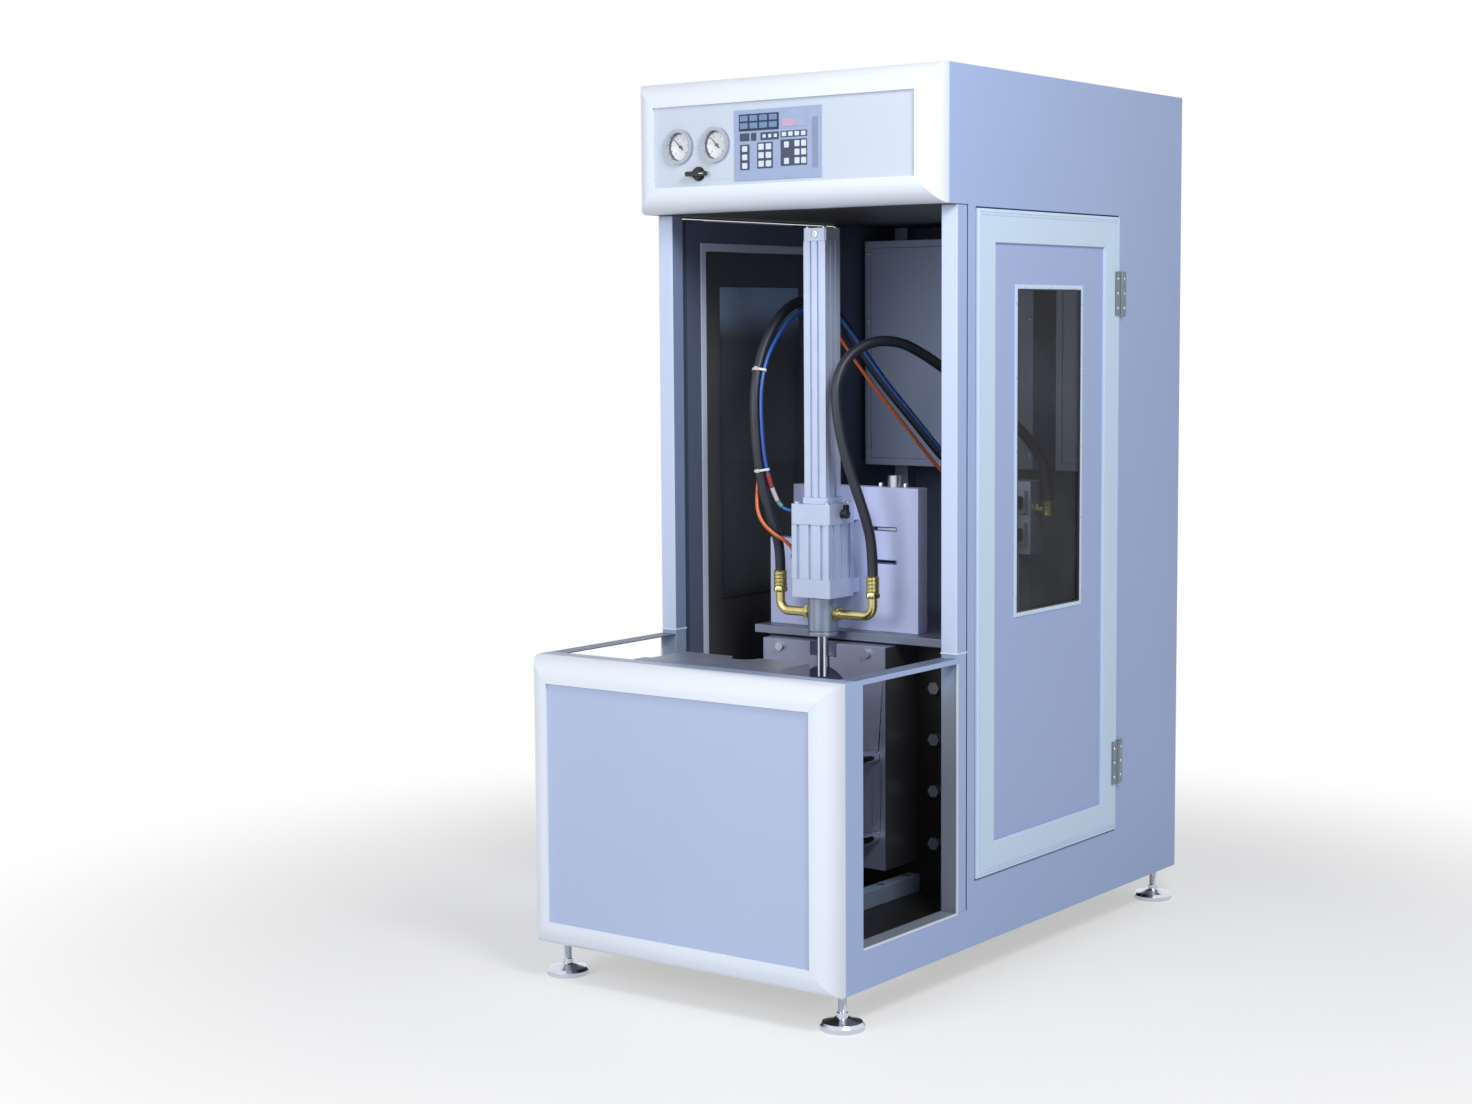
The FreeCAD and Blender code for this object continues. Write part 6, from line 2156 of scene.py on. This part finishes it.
    def box_lids(self) -> None:
        """The lid of each electrical box, with a turned edge and quarter-turn screws."""
        head = facing(screw_head(PAN_HEAD, self.lid_screw), Axis.FRONT)
        rim = [
            (0.0, -0.012), (0.0, 0.0008), (0.0012, 0.002), (0.016, 0.002), (0.0172, 0.0),
            (0.0172, -0.001),
        ]
        lids, screws = Shape(), Shape()
        for box in solid_spans("electrical_boxes"):
            lids.framed(
                rim, box.size.x + 2 * self.lid_lap, box.size.z + 2 * self.lid_lap,
                placed((box.centre.x, box.low.y, box.centre.z), Axis.FRONT),
            )
            screws.grid(
                head, SCREW_STEEL,
                (box.low.x + self.lid_screw_inset, box.low.y - 0.0018,
                 box.low.z + self.lid_screw_first),
                (0.0, 0.0, (box.size.z - 2 * self.lid_screw_first) / 3), 4,
                (box.size.x - 2 * self.lid_screw_inset, 0.0, 0.0), 2,
            )
        lids.piece("box_lid_edges", BOX_PAINT)
        screws.piece("box_lid_screws", SCREW_STEEL)


# ---- free hoses and tubes ----
# In front of this plane a hose hangs before the head; behind it, it goes back to the valves.
HANGING_Y = -0.15

RIGHT_HOSE = (
    (0.126, -0.189, 0.820), (0.126, -0.189, 0.884), (0.116, -0.204, 0.950), (0.098, -0.220, 1.020),
    (0.080, -0.231, 1.090), (0.068, -0.236, 1.162), (0.062, -0.230, 1.226), (0.071, -0.196, 1.279),
    (0.094, -0.142, 1.308), (0.122, -0.078, 1.306), (0.144, -0.018, 1.278), (0.168, 0.042, 1.240),
    (0.204, 0.112, 1.192), (0.252, 0.176, 1.128), (0.288, 0.224, 1.060), (0.300, 0.239, 1.000),
    (0.300, 0.239, 0.958),
)
LEFT_HOSE = (
    (-0.110, -0.189, 0.820), (-0.110, -0.189, 0.872), (-0.120, -0.207, 0.930),
    (-0.132, -0.219, 0.990), (-0.141, -0.226, 1.058), (-0.148, -0.227, 1.140),
    (-0.153, -0.219, 1.212), (-0.156, -0.194, 1.278), (-0.153, -0.156, 1.336),
    (-0.147, -0.108, 1.380), (-0.135, -0.044, 1.400), (-0.120, 0.020, 1.382),
    (-0.106, 0.070, 1.327), (-0.077, 0.102, 1.260), (-0.046, 0.136, 1.198), (-0.006, 0.168, 1.136),
    (0.040, 0.200, 1.064), (0.082, 0.222, 1.014), (0.120, 0.234, 0.986), (0.165, 0.239, 0.972),
    (0.212, 0.239, 0.972),
)
BLUE_TUBE = (
    (-0.067, -0.189, 0.948), (-0.092, -0.189, 0.948), (-0.110, -0.194, 0.962),
    (-0.116, -0.205, 0.988), (-0.119, -0.217, 1.018), (-0.125, -0.226, 1.066),
    (-0.132, -0.226, 1.140), (-0.137, -0.219, 1.212), (-0.139, -0.196, 1.272),
    (-0.136, -0.152, 1.326), (-0.130, -0.110, 1.360), (-0.119, -0.054, 1.384),
    (-0.104, 0.006, 1.374), (-0.090, 0.056, 1.324), (-0.061, 0.090, 1.258), (-0.030, 0.124, 1.198),
    (0.009, 0.156, 1.138), (0.054, 0.188, 1.068), (0.098, 0.210, 1.018), (0.140, 0.221, 0.994),
    (0.174, 0.223, 0.990), (0.212, 0.223, 0.990),
)
ORANGE_TUBE = (
    (-0.072, -0.189, 0.836), (-0.072, -0.189, 0.860), (-0.082, -0.201, 0.882),
    (-0.103, -0.218, 0.898), (-0.126, -0.229, 0.920), (-0.142, -0.229, 0.950),
    (-0.150, -0.218, 0.984), (-0.151, -0.210, 1.020), (-0.152, -0.212, 1.062),
    (-0.158, -0.214, 1.140), (-0.164, -0.205, 1.212), (-0.167, -0.1805, 1.277),
    (-0.166, -0.146, 1.332), (-0.161, -0.099, 1.377), (-0.150, -0.036, 1.397),
    (-0.136, 0.015, 1.374), (-0.120, 0.054, 1.312), (-0.088, 0.088, 1.244), (-0.056, 0.122, 1.182),
    (-0.016, 0.154, 1.120), (0.030, 0.186, 1.046), (0.074, 0.208, 0.992), (0.114, 0.222, 0.958),
    (0.158, 0.232, 0.940), (0.212, 0.232, 0.940),
)


def smooth_line(route: Sequence[Point], resolution: int = 10) -> list[Vector]:
    """Points of the smooth spline that has a route as its control points.

    Args:
        route: The route's points.
        resolution: Points of the line between two of the route's.

    Returns:
        The points, from one end to the other.
    """
    curve = bpy.data.curves.new("route", "CURVE")
    curve.dimensions = "3D"
    spline = curve.splines.new("NURBS")
    spline.points.add(len(route) - 1)
    for point, place in zip(spline.points, route):
        point.co = (*place, 1.0)
    spline.order_u = 3
    spline.use_endpoint_u = True
    spline.resolution_u = resolution
    mesh = evaluated(linked("route", curve))
    line = [vertex.co.copy() for vertex in mesh.vertices]
    bpy.data.meshes.remove(mesh)
    return line


@dataclass(frozen=True)
class FreeLine:
    """A free hose or tube, which goes from a fitting back into the machine."""

    name: str
    route: tuple[Point, ...]
    radius: float
    length: float
    finish: Finish
    sides: int
    follows_head: bool = False
    with_pieces: tuple[str, ...] = ()
    yielding: Point = (0.0, 0.1, 0.24)

    def build(self) -> None:
        line = smooth_line(self.route)
        mesh = Shape().swept(line, self.radius, self.sides, mapped=True).data(self.name + "_tube")
        mesh.materials.append(Finishes.material(self.finish))
        piece = linked(self.name + "_tube", mesh)
        if self.follows_head:
            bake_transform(piece)
        else:
            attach(piece, Body.CABINET.value)
        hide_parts(self.name)
        2 * self.radius
        LOG.info("%s is %.3f m long", self.name, self.length)


@dataclass(frozen=True)
class Sleeve:
    """A coloured sleeve that is shrunk onto the blue tube."""

    name: str
    top: float
    bottom: float
    finish: Finish
    radius: float = 0.0049

    def build(self) -> None:
        """Makes the sleeve on its stretch of the tube."""
        line = [
            point for point in smooth_line(BLUE_TUBE, 24)
            if point.y < HANGING_Y and self.bottom <= point.z <= self.top
        ]
        Shape().swept(line, self.radius, 14).piece(self.name, self.finish, 0.0003)


SLEEVES = (
    Sleeve("red_sleeve", 1.0300, 0.9990, Plastic("orange_plastic", srgb(168, 58, 66), 0.45)),
    Sleeve("pale_sleeve", 0.9985, 0.9680, Plastic("nylon", srgb(206, 204, 206), 0.4)),
    Sleeve("teal_sleeve", 0.9675, 0.9570, Plastic("blue_plastic", srgb(92, 158, 150), 0.4)),
)


@dataclass
class HoseTies:
    """Nylon ties that hold the small tubes to the left hose."""

    width: float = 0.005
    thick: float = 0.0012
    slack: float = 0.0003
    heights: tuple[float, float] = (1.034, 1.246)
    NAME = "hose_ties"

    def build(self) -> None:
        """Makes each tie as a band round what it holds, with its lock and its cut tail."""
        held = [
            ([point for point in smooth_line(route) if point.y < HANGING_Y], radius)
            for route, radius in (
                (LEFT_HOSE, HOSE_RADIUS), (BLUE_TUBE, TUBE_RADIUS), (ORANGE_TUBE, TUBE_RADIUS)
            )
        ]
        ties = Shape()
        for height in self.heights:
            hose, blue, orange = centres = [
                min(line, key=lambda point: abs(point.z - height)) for line, _ in held
            ]
            path = held[0][0]
            index = path.index(hose)
            along = (path[index + 1] - path[index - 1]).normalized()
            across = orange - blue
            across = (across - along * across.dot(along)).normalized()
            other = along.cross(across)
            rims = []
            for place, (_, radius) in zip(centres, held):
                offset, reach = place - hose, radius + self.slack
                for k in range(24):
                    angle = tau * k / 24
                    rims.append((
                        offset.dot(across) + reach * cos(angle),
                        offset.dot(other) + reach * sin(angle),
                    ))
            outline = self.hull(rims)
            frame = frame_at(hose, across, other, along)
            self.band(ties, outline, frame)
            self.lock(ties, outline, frame)
        ties.piece(self.NAME, NYLON, 0.0002, stands_for=["cable_ties"])

    @staticmethod
    def hull(points: list[Spot]) -> list[Spot]:
        """The convex outline of points in a plane.

        Args:
            points: The points.

        Returns:
            Its corners, anticlockwise.
        """
        ordered = sorted(set(points))
        halves = []
        for run in (ordered, ordered[::-1]):
            half: list[Spot] = []
            for point in run:
                while len(half) > 1:
                    (ax, ay), (bx, by) = half[-2], half[-1]
                    if (bx - ax) * (point[1] - ay) - (by - ay) * (point[0] - ax) > 0:
                        break
                    half.pop()
                half.append(point)
            halves.append(half[:-1])
        return halves[0] + halves[1]

    def band(self, shape: Shape, outline: list[Spot], frame: Matrix) -> None:
        """Adds the band round the outline.

        Args:
            shape: The working mesh.
            outline: What the tie holds, in the frame's XY plane.
            frame: Where the tie is; its +Z runs along the hose.
        """
        count = len(outline)
        rings = []
        for reach, half in ((0.0, -0.5), (self.thick, -0.5), (self.thick, 0.5), (0.0, 0.5)):
            ring = []
            for k, corner in enumerate(outline):
                ahead = Vector(outline[(k + 1) % count]) - Vector(outline[k - 1])
                outward = Vector((ahead.y, -ahead.x)).normalized()
                spot = Vector(corner) + outward * reach
                ring.append(shape.mesh.verts.new(frame @ Vector((*spot, half * self.width))))
            rings.append(ring)
        shape.skin(rings, closed=True)

    def lock(self, shape: Shape, outline: list[Spot], frame: Matrix) -> None:
        """Adds the lock's box, on the side that faces the front, and the tail through it.

        Args:
            shape: The working mesh.
            outline: What the tie holds, in the frame's XY plane.
            frame: Where the tie is; its +Z runs along the hose.
        """
        view = Vector((0.25, -1.0, 0.0))
        middle = frame.translation
        place = max(
            (frame @ Vector((*corner, 0.0)) for corner in outline),
            key=lambda spot: (spot - middle).dot(view),
        )
        outward = (place - middle).normalized()
        along = frame.to_3x3() @ Vector(Axis.UP.value)
        where = frame_at(place, along.cross(outward).normalized(), along, outward)
        shape.block((-0.0034, -0.0036, -0.0004), (0.0034, 0.0036, 0.0042), where)
        shape.block((-0.0006, -0.0022, 0.004), (0.0006, 0.0022, 0.0105), where)


HOSE_RADIUS = 0.011
TUBE_RADIUS = 0.004
LINES = (
    FreeLine("right_hose", RIGHT_HOSE, HOSE_RADIUS, 1.144, RUBBER, 24, follows_head=True),
    FreeLine(
        "left_hose", LEFT_HOSE, HOSE_RADIUS, 1.350, RUBBER, 24, follows_head=True,
        with_pieces=(HoseTies.NAME,),
    ),
    FreeLine(
        "blue_tube", BLUE_TUBE, TUBE_RADIUS, 1.191, BLUE_PLASTIC, 14,
        with_pieces=tuple(sleeve.name for sleeve in SLEEVES),
    ),
    FreeLine("orange_tube", ORANGE_TUBE, TUBE_RADIUS, 1.366, ORANGE_PLASTIC, 14),
)


# ---- the studio ----
@dataclass(frozen=True)
class Lamp:
    """A square area light that points at a target."""

    name: str
    place: Point
    target: Point
    size: float
    power: float

    def build(self) -> None:
        """Puts the lamp into the scene."""
        data = bpy.data.lights.new(self.name, "AREA")
        data.shape = "SQUARE"
        data.size = self.size
        data.energy = self.power
        lamp = linked(self.name, data)
        lamp.location = self.place
        toward = Vector(self.target) - Vector(self.place)
        lamp.rotation_euler = toward.to_track_quat("-Z", "Y").to_euler()


@dataclass
class Studio:
    """A white floor and surround, and soft lamps over the front and the right side."""

    lamps: tuple[Lamp, ...] = (
        Lamp("front_lamp", (-0.8, -4.8, 2.3), (0.0, -0.3, 0.9), 2.2, 90.0),
        Lamp("side_lamp", (2.2, -1.6, 2.9), (0.3, 0.0, 1.1), 1.0, 58.0),
    )
    surround: float = 0.28
    floor_radius: float = 14.0
    pool_radius: float = 1.0
    pool_fade: float = 2.4
    floor_glow: float = 0.5

    def build(self) -> None:
        """Makes floor, world and lights."""
        bpy.context.scene.view_settings.view_transform = "Standard"
        self.floor()
        self.world()
        for lamp in self.lamps:
            lamp.build()

    def floor(self) -> None:
        """A large pale disc that keeps the shadow near the machine and is white further out."""
        mesh = Shape().turned([(0.0, 0.0), (self.floor_radius, 0.0)], sides=96).data("floor")
        shader = Shader("pale_floor")
        cloud = shader.noise(1.3, 3.0)
        colour = shader.blend(cloud, srgb(236, 237, 240), srgb(246, 247, 249))
        matt = shader.node("ShaderNodeBsdfDiffuse", inputs={"Color": colour})
        white = shader.node("ShaderNodeEmission", inputs={"Strength": 1.0})
        far = shader.node(
            "ShaderNodeVectorMath", {"operation": "LENGTH"}, {0: shader.place}, "Value"
        )
        beyond = far.ramp(self.pool_radius, self.pool_fade * self.pool_radius)
        share = (self.floor_glow + beyond * (1.0 - self.floor_glow)) * self.seen_ray(shader)
        shader.end(shader.node("ShaderNodeMixShader", inputs={0: share, 1: matt, 2: white}))
        mesh.materials.append(shader.material)
        floor = linked("floor", mesh)

    @staticmethod
    def seen_ray(graph: Graph) -> Signal:
        """Tells rays that show the background from those that only bring light.

        Args:
            graph: The node tree.

        Returns:
            1 for a ray that the camera, a reflection or glass sends, else 0.
        """
        seen = graph.node("ShaderNodeLightPath", output="Is Camera Ray")
        outputs = seen.socket.node.outputs
        for name in ("Is Glossy Ray", "Is Transmission Ray"):
            seen = graph.node(
                "ShaderNodeMath", {"operation": "MAXIMUM"},
                {0: seen, 1: Signal(graph, outputs[name])},
            )
        return seen

    def world(self) -> None:
        """White where the camera, a reflection or glass sees it, and a soft grey as light."""
        world = bpy.data.worlds.new("surround")
        world.use_nodes = True
        world.node_tree.nodes.clear()
        graph = Graph(world.node_tree)
        strength = self.seen_ray(graph) * (1.0 - self.surround) + self.surround
        light = graph.node(
            "ShaderNodeBackground", inputs={"Color": (1.0, 1.0, 1.0, 1.0), "Strength": strength}
        )
        graph.node("ShaderNodeOutputWorld", inputs={"Surface": light})
        bpy.context.scene.world = world


@dataclass(frozen=True)
class PhotoCamera:
    """A camera where the photographer stood."""

    place: Point = (2.8723, -4.3464, 1.3414)
    yaw: float = 36.717
    pitch: float = 5.384
    roll: float = -0.403
    lens: float = 58.78
    film: float = 36.0

    def build(self) -> None:
        """Makes the camera and gives it to the scene."""
        yaw, pitch, roll = (radians(angle) for angle in (self.yaw, self.pitch, self.roll))
        forward = Vector((-sin(yaw) * cos(pitch), cos(yaw) * cos(pitch), -sin(pitch)))
        right = Vector((cos(yaw), sin(yaw), 0.0))
        upward = right.cross(forward)
        data = bpy.data.cameras.new("photo_camera")
        data.sensor_width = self.film
        data.lens = self.lens
        camera = linked("photo_camera", data)
        camera.matrix_world = frame_at(
            self.place, right * cos(roll) + upward * sin(roll),
            upward * cos(roll) - right * sin(roll), -forward,
        )
        bpy.context.scene.camera = camera


def main() -> None:
    """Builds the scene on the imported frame."""
    logging.basicConfig(level=logging.INFO, format="%(message)s")
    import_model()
    assemblies = (
        PhotoCamera(), HoseTies(), *SLEEVES, *LINES, Cabinet(), Header(),
        Door(Body.RIGHT_DOOR, 1, CLEAR_GLASS), Door(Body.LEFT_DOOR, -1, PAINTED_SHADE_GLASS), Feet(),
        Clamp(), HeadUnit(), Air(),
    )
    for assembly in assemblies:
        assembly.build()
    dress("hinge_fixed_leaves", HINGE_STEEL, 0.0005)
    Studio().build()


if __name__ == "__main__":
    main()
